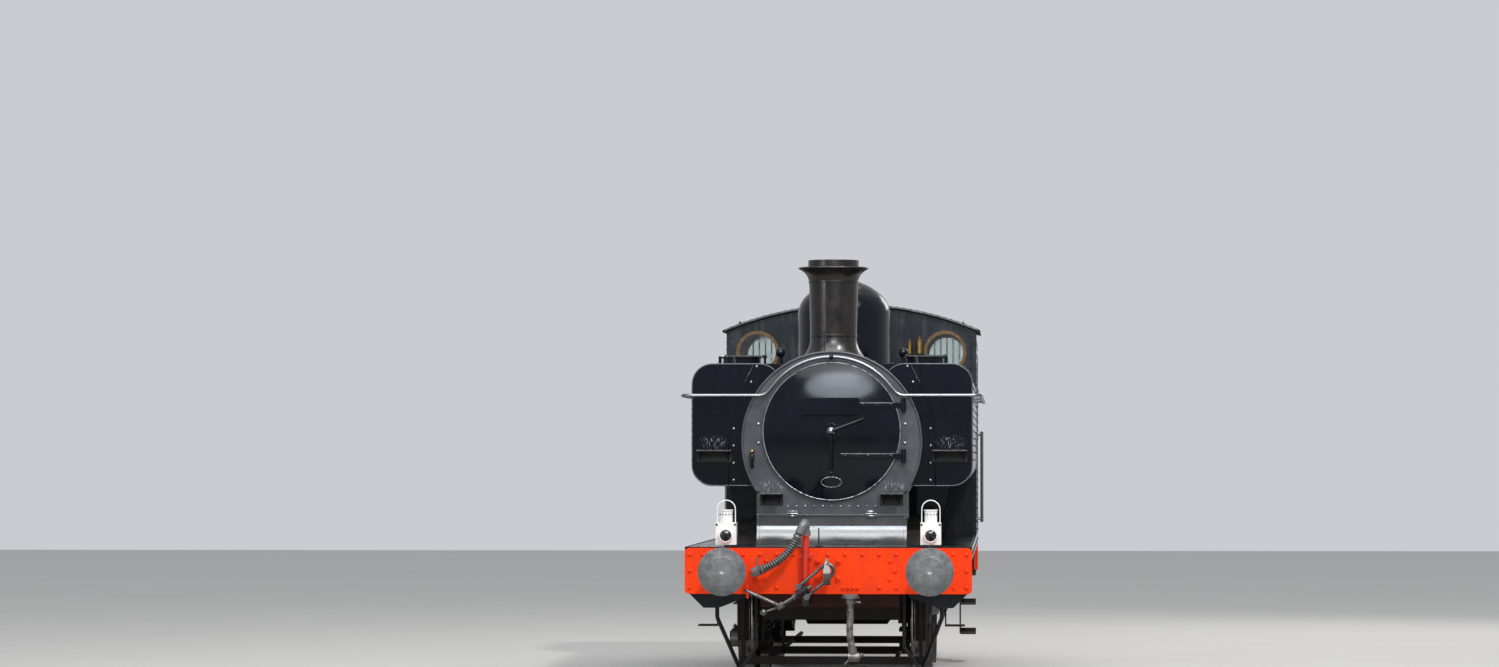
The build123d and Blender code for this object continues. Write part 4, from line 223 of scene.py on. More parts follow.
# vitreous white of the gauge dials, a little yellowed by heat
gaugeDialEnamel = paintedPlate(
    "gaugeDialEnamel", colour="E6E2D6", second="DAD5C6", dust="908A80", roughness=0.2, patch=40.0, grit=3.0,
    streak=14.0, wave=90.0, waveDepth=0.0001, peel=5.0, peelDepth=0.00002, dustOnTop=0.0, dustLow=0.0,
    dustStreak=0.1)
# bull's-eye lamp glass, opaque and painted dark as the shade inside the lamp, with a small bright image of
# the sky in its gloss
lampGlassPaintedShade = paintedPlate(
    "lampGlassPaintedShade", colour="07090C", second="10151B", dust="2A2A28", roughness=0.05, ior=1.52, patch=20.0,
    grit=2.0, wave=60.0, waveDepth=0.0001, peel=4.0, peelDepth=0.00001, dustOnTop=0.0, dustLow=0.0,
    dustStreak=0.03, edge=0.002)
# dark green-grey paint on the cab fittings, soft with handling
cabFittingsEnamel = paintedPlate(
    "cabFittingsEnamel", colour="2E3230", second="383A36", dust="5C5348", roughness=0.4, patch=120.0,
    grit=5.0, dustEven=0.05, dustStreak=0.2)

steel = {
    "colour": "6E6F72", "stain": "4A3B2E", "metallic": 1.0, "roughness": 0.24, "grain": (0.1, 1.0, 1.0),
    "scratch": 3.0, "scratchDepth": 0.00004, "stainSize": 45.0, "stainFrom": 0.56, "stainMost": 0.6,
}
everyWay = (1.0, 1.0, 1.0)


def bareMetal(name, **changes):
    # Bare metal: fine scratches along one way, stains in patches, and oil or rust where the patches are deep.
    look = dict(steel, **changes)
    material, add, place = startFinish(name, look)
    drawnOut = add("Mapping", place, Scale=look["grain"])
    scratches = add("TexNoise", drawnOut, perMetre(look["scratch"]), 3.0, 0.7)
    stains = add("TexNoise", place, perMetre(look["stainSize"]), 6.0, 0.66)
    stained = add("MapRange", stains, look["stainFrom"], look["stainFrom"] + 0.16, 0.0, look["stainMost"])
    worn = add("MapRange", scratches, 0.3, 0.7, look["roughness"] * 0.7, look["roughness"] * 1.5)
    return joinUp(material, {
        "Base Color": add("Mix", stained, linear(look["colour"]), linear(look["stain"]), data_type="RGBA"),
        "Roughness": add("Math", stained, 0.4, worn, operation="MULTIPLY_ADD", use_clamp=True),
        "Metallic": add("MapRange", stained, 0.0, 1.0, look["metallic"], look["metallic"] * 0.35),
        "Normal": add("Bump", Distance=look["scratchDepth"], Height=scratches)})


# emery-polished steel on handrails: bright along its length, dull specks
polishedSteel = bareMetal("polishedSteel")
# machined and oiled steel of the coupling rods: ground lengthways, brown oil film
groundRodSteel = bareMetal(
    "groundRodSteel", colour="82817E", roughness=0.33, grain=(1.0, 0.05, 1.0), stain="2B2119", stainMost=0.75,
    stainFrom=0.52)
# forged steel of hooks and couplings: worn bright on the links, greasy elsewhere
forgedCouplingSteel = bareMetal(
    "forgedCouplingSteel", colour="5C5A58", roughness=0.38, grain=everyWay, scratch=8.0, scratchDepth=0.0002,
    stain="1C1917", stainMost=0.85, stainFrom=0.52, stainSize=60.0)
# copper of the window rims, browned by weather and rubbed in places
rubbedCopper = bareMetal(
    "rubbedCopper", colour="5E4830", roughness=0.26, stain="2A2017", stainMost=0.75, stainFrom=0.44)
# cast brass fittings: yellow, with brown tarnish in the hollows
castBrass = bareMetal(
    "castBrass", colour="80693A", roughness=0.30, stain="40331F", stainMost=0.7, stainFrom=0.48,
    grain=everyWay)
# copper pipe in the cab: brown with heat, rubbed bright where hands reach
cabCopperPipe = bareMetal(
    "cabCopperPipe", colour="A8603C", roughness=0.30, stain="3A2219", stainMost=0.6, stainFrom=0.46,
    grain=everyWay)
# steel where paint has been rubbed through by hands and rags, and the same grey as painted highlight on lit
# edges
rubbedAndHighlightSteel = bareMetal(
    "rubbedAndHighlightSteel", colour="8A8C90", roughness=0.34, stain="1C1D20", stainMost=0.8, stainFrom=0.45,
    stainSize=30.0)
# galvanised pipe and flange: dull grey with a bright spangle
galvanisedFitting = bareMetal(
    "galvanisedFitting", colour="6A6967", roughness=0.46, grain=everyWay, scratch=14.0, scratchDepth=0.00015,
    stain="2A2420", stainMost=0.7, stainFrom=0.5)


def bufferSteel(name, look):
    # Worn buffer head: rings scored round its centre by rubbing, blotches of old grease, bare metal between.
    material, add, place = startFinish(name, look)
    spot = add("SeparateXYZ", place).node.outputs
    aside = add("Math", spot["X"], operation="ABSOLUTE")
    fromCentre = add("Math", aside, look["centreX"], operation="SUBTRACT")
    above = add("Math", spot["Z"], look["centreZ"], operation="SUBTRACT")
    radius = add("VectorMath", add("CombineXYZ", fromCentre, above), operation="LENGTH")
    rings = add("TexNoise", add("CombineXYZ", radius), perMetre(7.0), 5.0, 0.75)
    blotches = add("TexNoise", place, perMetre(70.0), 8.0, 0.72)
    specks = add("TexNoise", place, perMetre(10.0), 4.0, 0.8)
    mixed = add("Math", rings, 0.5, blotches, operation="MULTIPLY_ADD")
    speckled = add("Math", specks, 0.55, mixed, operation="MULTIPLY_ADD")
    worn = add("Math", speckled, add("MapRange", radius, 0.02, 0.17, 0.16, -0.04), operation="ADD")
    bare = add("MapRange", worn, 0.78, 1.34)
    return joinUp(material, {
        "Base Color": add("Mix", bare, linear(look["grease"]), linear(look["colour"]), data_type="RGBA"),
        "Metallic": add("MapRange", bare, 0.0, 1.0, 0.15, 0.85),
        "Roughness": add("MapRange", bare, 0.0, 1.0, 0.62, 0.42),
        "Normal": add("Bump", Distance=0.0004, Height=worn)})


# rolled steel buffer head, rubbed in rings by its neighbour and smeared with graphite grease
bufferHeadSteel = bufferSteel("bufferHeadSteel", {
    "colour": "7C7C7B", "grease": "2C2D2F", "metallic": 0.6, "roughness": 0.5, "centreX": 0.870,
    "centreZ": 1.082})


def wheelFinish(name, look):
    # Wheel: frame black on the spokes, and a tread that the rail and the brake blocks keep bright, told by
    # its distance from the axle.
    material, add, place = startFinish(name, look)
    centred = add("Mapping", place, Location=(0.0, -look["axleY"], -look["axleZ"]))
    flat = add("VectorMath", centred, (0.0, 1.0, 1.0), operation="MULTIPLY")
    grime = add("TexNoise", place, perMetre(90.0), 7.0, 0.7)
    fine = add("TexNoise", place, perMetre(6.0), 3.0)
    radius = add("VectorMath", flat, operation="LENGTH")
    tread = add("MapRange", radius, look["treadFrom"], look["treadFrom"] + 0.004)
    soiled = add("MapRange", grime, 0.4, 0.66, 0.1, 0.8)
    paint = add("Mix", soiled, linear(look["colour"]), linear(look["dust"]), data_type="RGBA")
    paintRough = add("MapRange", grime, 0.3, 0.7, 0.36, 0.7)
    polish = add("MapRange", tread, 0.0, 1.0, 0.0, 0.24)
    return joinUp(material, {
        "Base Color": add("Mix", tread, paint, linear(look["tread"]), data_type="RGBA"),
        "Metallic": tread,
        "Roughness": add("Math", paintRough, polish, operation="SUBTRACT"),
        "Normal": add("Bump", Distance=0.0003, Height=fine)})


def standpipeFinish(name, look):
    # Brake standpipe: red paint on the pipe, bare dull neck and stowing stub, grime below the beam, told by
    # place, with run marks and dust over all three.
    material, add, place = startFinish(name, look)
    spot = add("SeparateXYZ", add("VectorMath", place, operation="ABSOLUTE")).node.outputs
    high = add("MapRange", spot["Z"], look["neckFrom"], look["neckFrom"] + 0.002)
    aside = add("MapRange", spot["X"], look["stubFrom"], look["stubFrom"] + 0.002)
    bare = add("Math", high, aside, operation="MAXIMUM")
    low = add("MapRange", spot["Z"], look["beamFoot"], look["beamFoot"] - 0.01)
    marks = add("TexNoise", place, perMetre(35.0), 6.0, 0.7)
    soiled = add("MapRange", marks, 0.5, 0.72, 0.0, 0.6)
    colour = add("Mix", bare, linear(look["colour"]), linear(look["neck"]), data_type="RGBA")
    colour = add("Mix", low, colour, linear(look["grime"]), data_type="RGBA")
    return joinUp(material, {
        "Base Color": add("Mix", soiled, colour, linear(look["dust"]), data_type="RGBA"),
        "Roughness": add("MapRange", marks, 0.3, 0.7, 0.24, 0.55),
        "Normal": add("Bump", Distance=0.0002, Height=marks)})


# brake standpipe: beam red pipe, given a darker red than the beam as painted shade, with a bare cast neck
brakeStandpipeRedAndShade = standpipeFinish("brakeStandpipeRedAndShade", {
    "colour": "CC2205", "neck": "5E6062", "grime": "131212", "dust": "3A2A22", "roughness": 0.35,
    "neckFrom": 1.378, "stubFrom": 0.45, "beamFoot": 0.87})


def ribbedRubber(name, look):
    # Canvas-backed rubber: painted shade near black in the grooves between its ribs, paler in patches of
    # wear, with a cloth grain.
    material, add, place = startFinish(name, look)
    cloth = add("TexNoise", place, perMetre(3.0), 4.0, 0.8)
    rubbed = add("TexNoise", place, perMetre(40.0), 5.0)
    worn = add("MapRange", rubbed, 0.4, 0.64)
    crest = add("Mix", worn, linear(look["colour"]), linear(look["worn"]), data_type="RGBA")
    # painted shade: the groove depth stored on each point darkens the colour there
    grooveAndShade = add("Attribute", attribute_name="grooveAndShade").node.outputs["Fac"]
    return joinUp(material, {
        "Base Color": add("Mix", grooveAndShade, crest, linear(look["grooveAndShade"]), data_type="RGBA"),
        "Roughness": add("MapRange", rubbed, 0.3, 0.7, look["roughness"] - 0.12, look["roughness"] + 0.15),
        "Normal": add("Bump", Distance=0.0003, Height=cloth)})


# natural rubber brake hose, weathered grey, with painted shade in its grooves
brakeHoseRubber = ribbedRubber("brakeHoseRubber", {
    "colour": "3E4042", "worn": "5A5A59", "grooveAndShade": "070708", "roughness": 0.5})
# lagged steam heating hose: canvas over rubber, painted silver grey and rubbed, with painted shade in its
# grooves
laggedHoseCanvas = ribbedRubber("laggedHoseCanvas", {
    "colour": "3C3A38", "worn": "98958F", "grooveAndShade": "1C1A18", "roughness": 0.36})


def plankFloor(name, look):
    # Floor boards laid lengthways: a dark joint every board's width, grain along each, trodden coal dust.
    material, add, place = startFinish(name, look)
    board = add("Math", add("SeparateXYZ", place), perMetre(look["board"]), operation="MULTIPLY")
    across = add("Math", board, 0.5, operation="PINGPONG")
    joint = add("MapRange", across, 0.0, 0.035, 1.0, 0.0)
    grain = add("TexNoise", add("Mapping", place, Scale=(1.0, 0.06, 1.0)), perMetre(7.0), 6.0, 0.7)
    wood = add("Mix", grain, linear(look["colour"]), linear(look["pale"]), data_type="RGBA")
    coal = add("TexNoise", place, perMetre(160.0), 8.0, 0.75)
    trodden = add("MapRange", coal, 0.4, 0.65, 0.2, 0.85)
    dark = add("Math", trodden, joint, operation="MAXIMUM")
    sunk = add("Math", grain, joint, operation="SUBTRACT")
    return joinUp(material, {
        "Base Color": add("Mix", dark, wood, linear(look["coal"]), data_type="RGBA"),
        "Normal": add("Bump", Distance=0.001, Height=sunk)})


# oak boards of the cab floor, brown and dulled by trodden coal
cabOakBoards = plankFloor("cabOakBoards", {
    "colour": "4A3828", "pale": "6E583F", "coal": "17130F", "roughness": 0.72, "board": 150.0})


def paneGlass(name, look):
    # Plate glass: clear, with a wiped film that dulls it in swirls.
    material, add, place = startFinish(name, look)
    film = add("TexNoise", place, perMetre(110.0), 5.0, Distortion=0.8)
    return joinUp(material, {"Roughness": add("MapRange", film, 0.45, 0.75, 0.02, look["film"])})


# toughened cab glass, faintly green and wiped with a rag
cabPlateGlass = paneGlass("cabPlateGlass", {
    "colour": "E4EBE9", "roughness": 0.03, "film": 0.22, "ior": 1.52, "clearness": 1.0})

finishOf = {
    glossBlackEnamel: [
        "boiler", "bunker", "cab_rear_sheet", "cab_side_sheets", "dome", "door_hinges",
        "filler_lid_left", "filler_lid_right", "firebox", "lid_hinges", "pannier_tanks", "sand_boxes",
        "smokebox_door", "running_plate"],
    ragPolishedPaintedSheenEnamel: ["smokebox_saddle"],
    smokeDustAndPaintedSheenEnamel: ["cab_front_sheet"],
    sootyRoofEnamel: ["cab_roof"],
    smokeboxGraphite: ["smokebox"],
    chimneyCasting: ["chimney"],
    beamRedEnamel: ["front_buffer_beam", "rear_buffer_beam", "buffer_housings"],
    brakeStandpipeRedAndShade: ["standpipes"],
    frameBlackGrime: [
        "ashpan", "axleboxes", "brake_gear", "cylinder_block", "guard_irons", "main_frames", "springs",
        "splashers", "cab_steps", "front_steps"],
    redOxidePrimer: ["frame_stretchers"],
    whiteLampEnamel: ["lamps"],
    cabFittingsEnamel: ["cab_fittings"],
    polishedSteel: ["handrail", "leading_crankpins", "driving_crankpins", "trailing_crankpins"],
    groundRodSteel: [
        "coupling_rod_left", "coupling_rod_right", "leading_axle", "driving_axle", "trailing_axle"],
    forgedCouplingSteel: ["draw_hooks", "screw_couplings"],
    bufferHeadSteel: ["buffer_heads"],
    rubbedCopper: ["spectacle_rims"],
    castBrass: ["whistles", "safety_valve"],
    galvanisedFitting: ["heating_pipes", "hose_coupling"],
    brakeHoseRubber: ["vacuum_hose"],
    laggedHoseCanvas: ["heating_hose"],
    cabOakBoards: ["cab_floor"],
    cabPlateGlass: ["window_glass"],
}
# frame black wheels with a bright grey tread
wheels = {
    "colour": "121113", "dust": "3E342B", "tread": "9A9894", "roughness": 0.5, "axleZ": 0.733,
    "treadFrom": 0.7}
axlePlaces = {"leading": -2.565, "driving": -0.355, "trailing": 2.160}
for axle, axleY in axlePlaces.items():
    finishOf[wheelFinish(axle + "WheelFinish", dict(wheels, axleY=axleY))] = [axle + "_wheels"]
for finish, names in finishOf.items():
    for name in names:
        slots = nodes[name].data.materials
        if len(slots) == 0:
            slots.append(finish)
        for index in range(len(slots)):
            slots[index] = finish
print("stage: finishes on", sum(len(names) for names in finishOf.values()), "nodes")


# Pieces

def addPiece(name, shapes, finish, body="chassis", smooth=True):
    # one piece from several shapes, each with its points and faces
    points, faces, start = [], [], 0
    for shape, sides in shapes:
        points.append(shape)
        faces += [tuple(i + start for i in side) for side in sides]
        start += len(shape)
    mesh = bpy.data.meshes.new(name)
    mesh.from_pydata(np.vstack(points).tolist(), [], faces)
    mesh.polygons.foreach_set("use_smooth", np.full(len(mesh.polygons), smooth))
    mesh.update()
    mesh.materials.append(finish)
    piece = bpy.data.objects.new(name, mesh)
    bpy.context.scene.collection.objects.link(piece)
    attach(piece, body)
    return piece


def tube(rings, loop=False, middles=None):
    # Rings of points skinned as a tube: quads between neighbouring rings, and a fan from the middle of each
    # end, or in a loop the last ring joined to the first.
    rows, around = rings.shape[:2]
    count = rows * around
    r, c = np.meshgrid(np.arange(rows if loop else rows - 1), np.arange(around), indexing="ij")
    n = (c + 1) % around
    quads = np.stack([r * around + c, r * around + n, (r + 1) * around + n, (r + 1) * around + c], -1) % count
    points, faces = rings.reshape(-1, 3), quads.reshape(-1, 4).tolist()
    if loop:
        return points, faces
    c, n, last = c[0], n[0], count - around
    faces += np.stack([np.full(around, count), n, c], -1).tolist()
    faces += np.stack([np.full(around, count + 1), last + c, last + n], -1).tolist()
    ends = (rings[0].mean(0), rings[-1].mean(0)) if middles is None else middles
    return np.vstack([points, *ends]), faces


def circle(around, start=0, end=360):
    # the angles of a whole circle whose last point is left out, because the ring closes on its first
    return np.radians(np.linspace(start, end, around, endpoint=False))


def unit(vectors):
    return vectors / np.linalg.norm(vectors, axis=-1, keepdims=True)


# Cords

def routeSpline(name, points):
    # the hose's own line: a NURBS spline with the route's points as its control points
    curve = bpy.data.curves.new(name, "CURVE")
    curve.dimensions = "3D"
    curve.resolution_u = 24
    spline = curve.splines.new("NURBS")
    spline.points.add(len(points) - 1)
    for knot, place in zip(spline.points, points):
        knot.co = (*place, 1.0)
    spline.order_u = 3
    spline.use_endpoint_u = True
    route = bpy.data.objects.new(name, curve)
    bpy.context.scene.collection.objects.link(route)
    line = bpy.data.meshes.new_from_object(route.evaluated_get(bpy.context.evaluated_depsgraph_get()))
    co = np.empty(len(line.vertices) * 3)
    line.vertices.foreach_get("co", co)
    bpy.data.objects.remove(route)
    bpy.data.meshes.remove(line)
    return co.reshape(-1, 3)


def hoseTube(name, hose, finish):
    # Circles carried along the route, their radius sinking once a rib, and a fan closing each end:
    # r = diameter / 2 - ribDepth * grooveAndShade,
    # grooveAndShade = (1 - cos(2 pi * run / pitch - helix * angle)) / 2, also kept on the points as painted
    # shade.
    line = routeSpline(name + "Line", hose["route"])
    run = np.concatenate([[0.0], np.cumsum(np.linalg.norm(np.diff(line, axis=0), axis=1))])
    rows = int(run[-1] / hose["pitch"] * 6) + 1
    at = np.linspace(0.0, run[-1], rows)
    centre = np.stack([np.interp(at, run, line[:, k]) for k in range(3)], -1)
    along = unit(np.gradient(centre, axis=0))
    side = unit(np.cross(along, np.array(hose["across"])))
    up = np.cross(along, side)
    turn = circle(hose["around"])
    phase = 2 * np.pi * at[:, None] / hose["pitch"] - hose["helix"] * turn[None, :]
    grooveAndShade = 0.5 * (1 - np.cos(phase))
    radius = hose["diameter"] / 2 - hose["ribDepth"] * grooveAndShade
    ring = np.cos(turn)[None, :, None] * side[:, None, :] + np.sin(turn)[None, :, None] * up[:, None, :]
    rings = centre[:, None, :] + radius[:, :, None] * ring
    piece = addPiece(name, [tube(rings, middles=(centre[0], centre[-1]))], finish, "chassis")
    # the groove values kept on the points, which the rubber's finish reads to paint shade into the grooves
    grooveShadeAtPoints = np.concatenate([grooveAndShade.ravel(), [0.0, 0.0]])
    piece.data.attributes.new("grooveAndShade", "FLOAT", "POINT").data.foreach_set("value", grooveShadeAtPoints)
    return piece, line, float(run[-1])


brakeHose = {
    "route": [
        (-0.23987, -4.29364, 1.39705), (-0.29134, -4.30427, 1.29140), (-0.37522, -4.30427, 1.19471),
        (-0.47470, -4.28962, 1.12562), (-0.57367, -4.26213, 1.08626)],
    "diameter": 0.070, "pitch": 0.0230, "ribDepth": 0.0080, "helix": 1, "around": 32,
    "across": (0.0, 1.0, 0.0),
}
steamHose = {
    "route": [
        (0.190, -4.205, 0.800), (0.190, -4.205, 0.712), (0.184, -4.208, 0.612), (0.186, -4.204, 0.516),
        (0.202, -4.198, 0.436)],
    "diameter": 0.060, "pitch": 0.010, "ribDepth": 0.0016, "helix": 1, "around": 28,
    "across": (0.0, 1.0, 0.0),
}
vacuumHose, vacuumLine, vacuumLength = hoseTube("vacuumHoseRibbed", brakeHose, brakeHoseRubber)
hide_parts("vacuum_hose")
heatingHose, heatingLine, heatingLength = hoseTube(
    "heatingHoseLagged", steamHose, laggedHoseCanvas)
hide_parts("heating_hose")
print("stage: hoses", round(vacuumLength, 4), round(heatingLength, 4))


# Detail pieces

def squareTo(axis):
    # two directions square to each axis: side, and up = axis x side, so side, up and axis are right-handed
    axis = unit(np.atleast_2d(np.array(axis, float)))
    helper = np.where(np.abs(axis[:, 2:3]) < 0.9, np.array([[0.0, 0.0, 1.0]]), np.array([[1.0, 0.0, 0.0]]))
    side = unit(np.cross(helper, axis))
    return side, np.cross(axis, side), axis


def turned(profile, centre, axis, around=32, loop=False):
    # Each pair (radius, run) of the profile is carried round the axis:
    # point = centre + run * axis + radius * (cos(turn) * side + sin(turn) * up).
    radius, run = np.array(profile, float).T
    side, up, axis = (direction[0] for direction in squareTo(axis))
    turn = circle(around)
    ring = np.cos(turn)[:, None] * side + np.sin(turn)[:, None] * up
    return tube(np.array(centre) + run[:, None, None] * axis + radius[:, None, None] * ring[None], loop)


def ringOf(section, centre, axis, around):
    # A closed section of (radius, run) pairs, given anticlockwise, carried round the axis like a washer.
    return turned(section, centre, axis, around, loop=True)


def carried(path, section, up, loop=False):
    # A closed section of (across, raised) pairs carried along a path:
    # point = path + across * side + raised * up, with side = up x direction of travel.
    path = np.array(path, float)
    along = np.roll(path, -1, axis=0) - np.roll(path, 1, axis=0) if loop else np.gradient(path, axis=0)
    up = np.broadcast_to(np.array(up, float), path.shape)
    side = unit(np.cross(up, unit(along)))
    across, raised = np.array(section, float).T
    shifted = path[:, None] + across[None, :, None] * side[:, None]
    return tube(shifted + raised[None, :, None] * up[:, None], loop)


def softPath(corners, reach, steps=7):
    # a path through the corners, each corner eased by a parabola that starts and ends a reach away from it
    corners = np.array(corners, float)
    middle = corners[1:-1]
    start = middle + unit(corners[:-2] - middle) * reach
    end = middle + unit(corners[2:] - middle) * reach
    t = np.linspace(0, 1, steps)[None, :, None]
    bends = (1 - t) ** 2 * start[:, None] + 2 * t * (1 - t) * middle[:, None] + t ** 2 * end[:, None]
    return np.vstack([corners[:1], bends.reshape(-1, 3), corners[-1:]])


def roundedLoop(centreX, centreZ, halfX, halfZ, radius, y):
    # a rectangle with round corners in the plane of y, walked once round, anticlockwise seen from the front
    turn = np.radians(np.linspace(0, 90, 9))
    return np.vstack([np.stack([
        centreX + signX * (halfX - radius) + radius * np.cos(turn + start), np.full(9, y),
        centreZ + signZ * (halfZ - radius) + radius * np.sin(turn + start)], -1)
        for signX, signZ, start in ((1, 1, 0), (-1, 1, np.pi / 2), (-1, -1, np.pi), (1, -1, 1.5 * np.pi))])


def roundSection(radius, count):
    return np.stack([radius * np.cos(circle(count)), radius * np.sin(circle(count))], -1)


def boxSection(width, low, high):
    return [(-width / 2, low), (width / 2, low), (width / 2, high), (-width / 2, high)]


ahead, behind, left, upward = (0, -1, 0), (0, 1, 0), (1, 0, 0), (0, 0, 1)
mirrorTurn, halfTurn = np.array([-1.0, 1.0, 1.0]), np.array([-1.0, -1.0, 1.0])
# a snap head and a hexagon nut of radius 1, standing on z = 0 and sunk a little below it
snapHead = turned([(1.0, -0.15), (1.0, 0.05), (0.86, 0.42), (0.5, 0.66), (0.02, 0.74)], (0, 0, 0), upward, 8)
hexNut = turned([(1.0, -0.15), (1.0, 0.62), (0.86, 0.78), (0.5, 0.78), (0.48, 1.1), (0.4, 1.18)],
                (0, 0, 0), upward, 6)


def stamped(shape, rows):
    # The shape set evenly along each row, which is its start, its end, how many, the way they face, and the
    # size: point = place + size * (x * side + y * up + z * facing).
    points, sides = shape
    places = np.vstack([np.linspace(start, end, count) for start, end, count, facing, size in rows])
    sizes = np.concatenate([np.full(count, size) for start, end, count, facing, size in rows])
    facings = [np.tile(facing, (count, 1)) for start, end, count, facing, size in rows]
    side, up, axis = squareTo(np.vstack(facings))
    scaled = points[None] * sizes[:, None, None]
    placed = (places[:, None] + scaled[:, :, :1] * side[:, None] + scaled[:, :, 1:2] * up[:, None]
              + scaled[:, :, 2:] * axis[:, None])
    starts = np.arange(len(places)) * len(points)
    return placed.reshape(-1, 3), [tuple(i + start for i in face) for start in starts for face in sides]


def rowsOn(axis, at, facing, size, lines):
    # Rows on a plane square to axis 0, 1 or 2: each line has the other two coordinates of its start, then
    # of its end, and how many.
    return [
        (np.insert(line[:2], axis, at), np.insert(line[2:4], axis, at), line[4], facing, size)
        for line in lines]


def oneAt(place, facing, size):
    return place, place, 1, facing, size


def alsoFlipped(rows, flip):
    # the rows, and then the same rows with their places and facings multiplied by the flip
    return rows + [
        (np.array(start) * flip, np.array(end) * flip, count, tuple(np.array(facing) * flip), size)
        for start, end, count, facing, size in rows]


def bothSides(rows):
    return alsoFlipped(rows, mirrorTurn)


def bothEnds(rows):
    return alsoFlipped(rows, halfTurn)


# Buffer beam rivets and the nuts that hold the draw hook's plate, as they stand in the photograph.
beamTrim = {
    "face": -4.165, "rivet": 0.019, "top": 1.217, "middle": 1.077, "foot": 0.936, "nut": 0.026,
    "footNut": 0.017}
by, top, middle, foot = (beamTrim[key] for key in ("face", "top", "middle", "foot"))
frontRows = bothSides(rowsOn(1, by, ahead, beamTrim["rivet"], [
    (0.146, top, 0.723, top, 5), (1.065, top, 1.175, top, 2), (1.065, middle, 1.175, middle, 2),
    (1.065, foot, 1.175, foot, 2), (0.434, foot, 0.578, foot, 2), (0.524, 1.160, 0.524, 1.006, 2),
    (0.567, 1.078, 0.567, 1.078, 1)])) + [oneAt((0.0, by, top), ahead, beamTrim["rivet"])]
addPiece("beamRivetHeads", [stamped(snapHead, bothEnds(frontRows))], beamRedEnamel)
hookNutRows = bothSides(rowsOn(1, by, ahead, beamTrim["nut"], [(0.087, 1.160, 0.087, 1.014, 2)]))
hookNutRows += rowsOn(1, by, ahead, beamTrim["footNut"], [(0.128, 0.934, 0.252, 0.934, 4)])
addPiece("beamNuts", [stamped(hexNut, bothEnds(hookNutRows))], beamRedEnamel, smooth=False)

# Nuts round the flange of each buffer housing.
flangeNuts = {"centreX": 0.870, "centreZ": 1.082, "circle": 0.152, "face": -4.198, "radius": 0.017}
flangeRows = [
    oneAt((side * flangeNuts["centreX"] + flangeNuts["circle"] * np.cos(a), flangeNuts["face"],
           flangeNuts["centreZ"] + flangeNuts["circle"] * np.sin(a)), ahead, flangeNuts["radius"])
    for side in (-1, 1) for a in circle(4, 45, 405)]
addPiece("bufferFlangeNuts", [stamped(hexNut, bothEnds(flangeRows))], beamRedEnamel,
         smooth=False)
print("stage: beam fasteners")

# Smokebox: a rounded lip round the front plate, rivets, bolts and a cock.
smokeboxTrim = {
    "frontY": -3.325, "axisZ": 2.178, "radius": 0.787, "lip": 0.011, "side": 0.650, "rivet": 0.0085,
    "footRivet": 0.0100, "frontBolt": 0.0155}
sy, sz, sr = smokeboxTrim["frontY"], smokeboxTrim["axisZ"], smokeboxTrim["radius"]
lip, sideX, rivet = smokeboxTrim["lip"], smokeboxTrim["side"], smokeboxTrim["rivet"]
arc = np.radians(np.linspace(-35, 215, 120))
lipPath = np.stack([
    (sr - lip) * np.cos(arc), np.full_like(arc, sy - 0.002), sz + (sr - lip) * np.sin(arc)], -1)
addPiece("smokeboxLip", [carried(lipPath, roundSection(lip, 12), ahead)], smokeboxGraphite)
rubbedRows = rowsOn(1, sy, ahead, smokeboxTrim["footRivet"], [(-0.381, 1.618, 0.381, 1.618, 11)])
rubbedRows += bothSides(rowsOn(1, sy, ahead, smokeboxTrim["frontBolt"], [(0.636, 2.330, 0.636, 2.165, 2)]))
addPiece("smokeboxFrontRivets", [stamped(snapHead, rubbedRows)], rubbedAndHighlightSteel)
smokeboxRows = [
    oneAt((sr * np.cos(a), rowY, sz + sr * np.sin(a)), (np.cos(a), 0, np.sin(a)), rivet)
    for rowY in (-3.296, -2.463) for a in np.radians(np.arange(62, 119, 5.6))]
for rowY in (-3.300, -2.465):
    smokeboxRows += bothSides(rowsOn(0, sideX, left, rivet, [(rowY, 1.590, rowY, 1.760, 3)]))
smokeboxRows += bothSides(rowsOn(0, sideX, left, rivet, [(-3.22, 1.600, -2.54, 1.600, 10)]))
addPiece("smokeboxRivets", [stamped(snapHead, smokeboxRows)], smokeboxGraphite)
cockX, cockZ, cockY = -0.690, 2.035, -3.358
cockParts = [
    turned([(0.020, 0.0), (0.020, 0.012), (0.010, 0.016), (0.010, 0.034)],
           (cockX, sy, cockZ + 0.02), ahead, 20),
    turned([(0.012, -0.090), (0.016, -0.086), (0.016, -0.020), (0.021, -0.014), (0.021, 0.030),
            (0.014, 0.040), (0.011, 0.044)], (cockX, cockY, cockZ), upward, 20)]
addPiece("smokeboxCockBody", cockParts, frameBlackGrime)
cockCap = turned([(0.011, 0.044), (0.019, 0.048), (0.021, 0.058), (0.016, 0.070), (0.005, 0.076)],
                 (cockX, cockY, cockZ), upward, 24)
addPiece("smokeboxCockCap", [cockCap], castBrass)

# Hinge clips on the ledge over the apron: two leaves and a knuckle each.
ledgeClip = {"x": 0.343, "y": -3.345, "z": 1.552, "half": 0.050}
clipParts = []
for side in (-1, 1):
    x, y, z, half = side * ledgeClip["x"], ledgeClip["y"], ledgeClip["z"], ledgeClip["half"]
    knuckle = [(0.0075, -half), (0.0085, -half + 0.002), (0.0085, half - 0.002), (0.0075, half)]
    clipParts.append(turned(knuckle, (x, y - 0.002, z), left, 16))
    leaves = ((sy - 0.002, z + 0.016, 0.030, 0.004), (y - 0.0005, z - 0.018, 0.026, 0.003))
    for leafY, leafZ, width, proud in leaves:
        clipParts.append(carried([(x - half, leafY, leafZ), (x + half, leafY, leafZ)],
                                 boxSection(width, -0.002, proud), ahead))
addPiece("ledgeHinges", clipParts, rubbedAndHighlightSteel)
print("stage: smokebox trim")

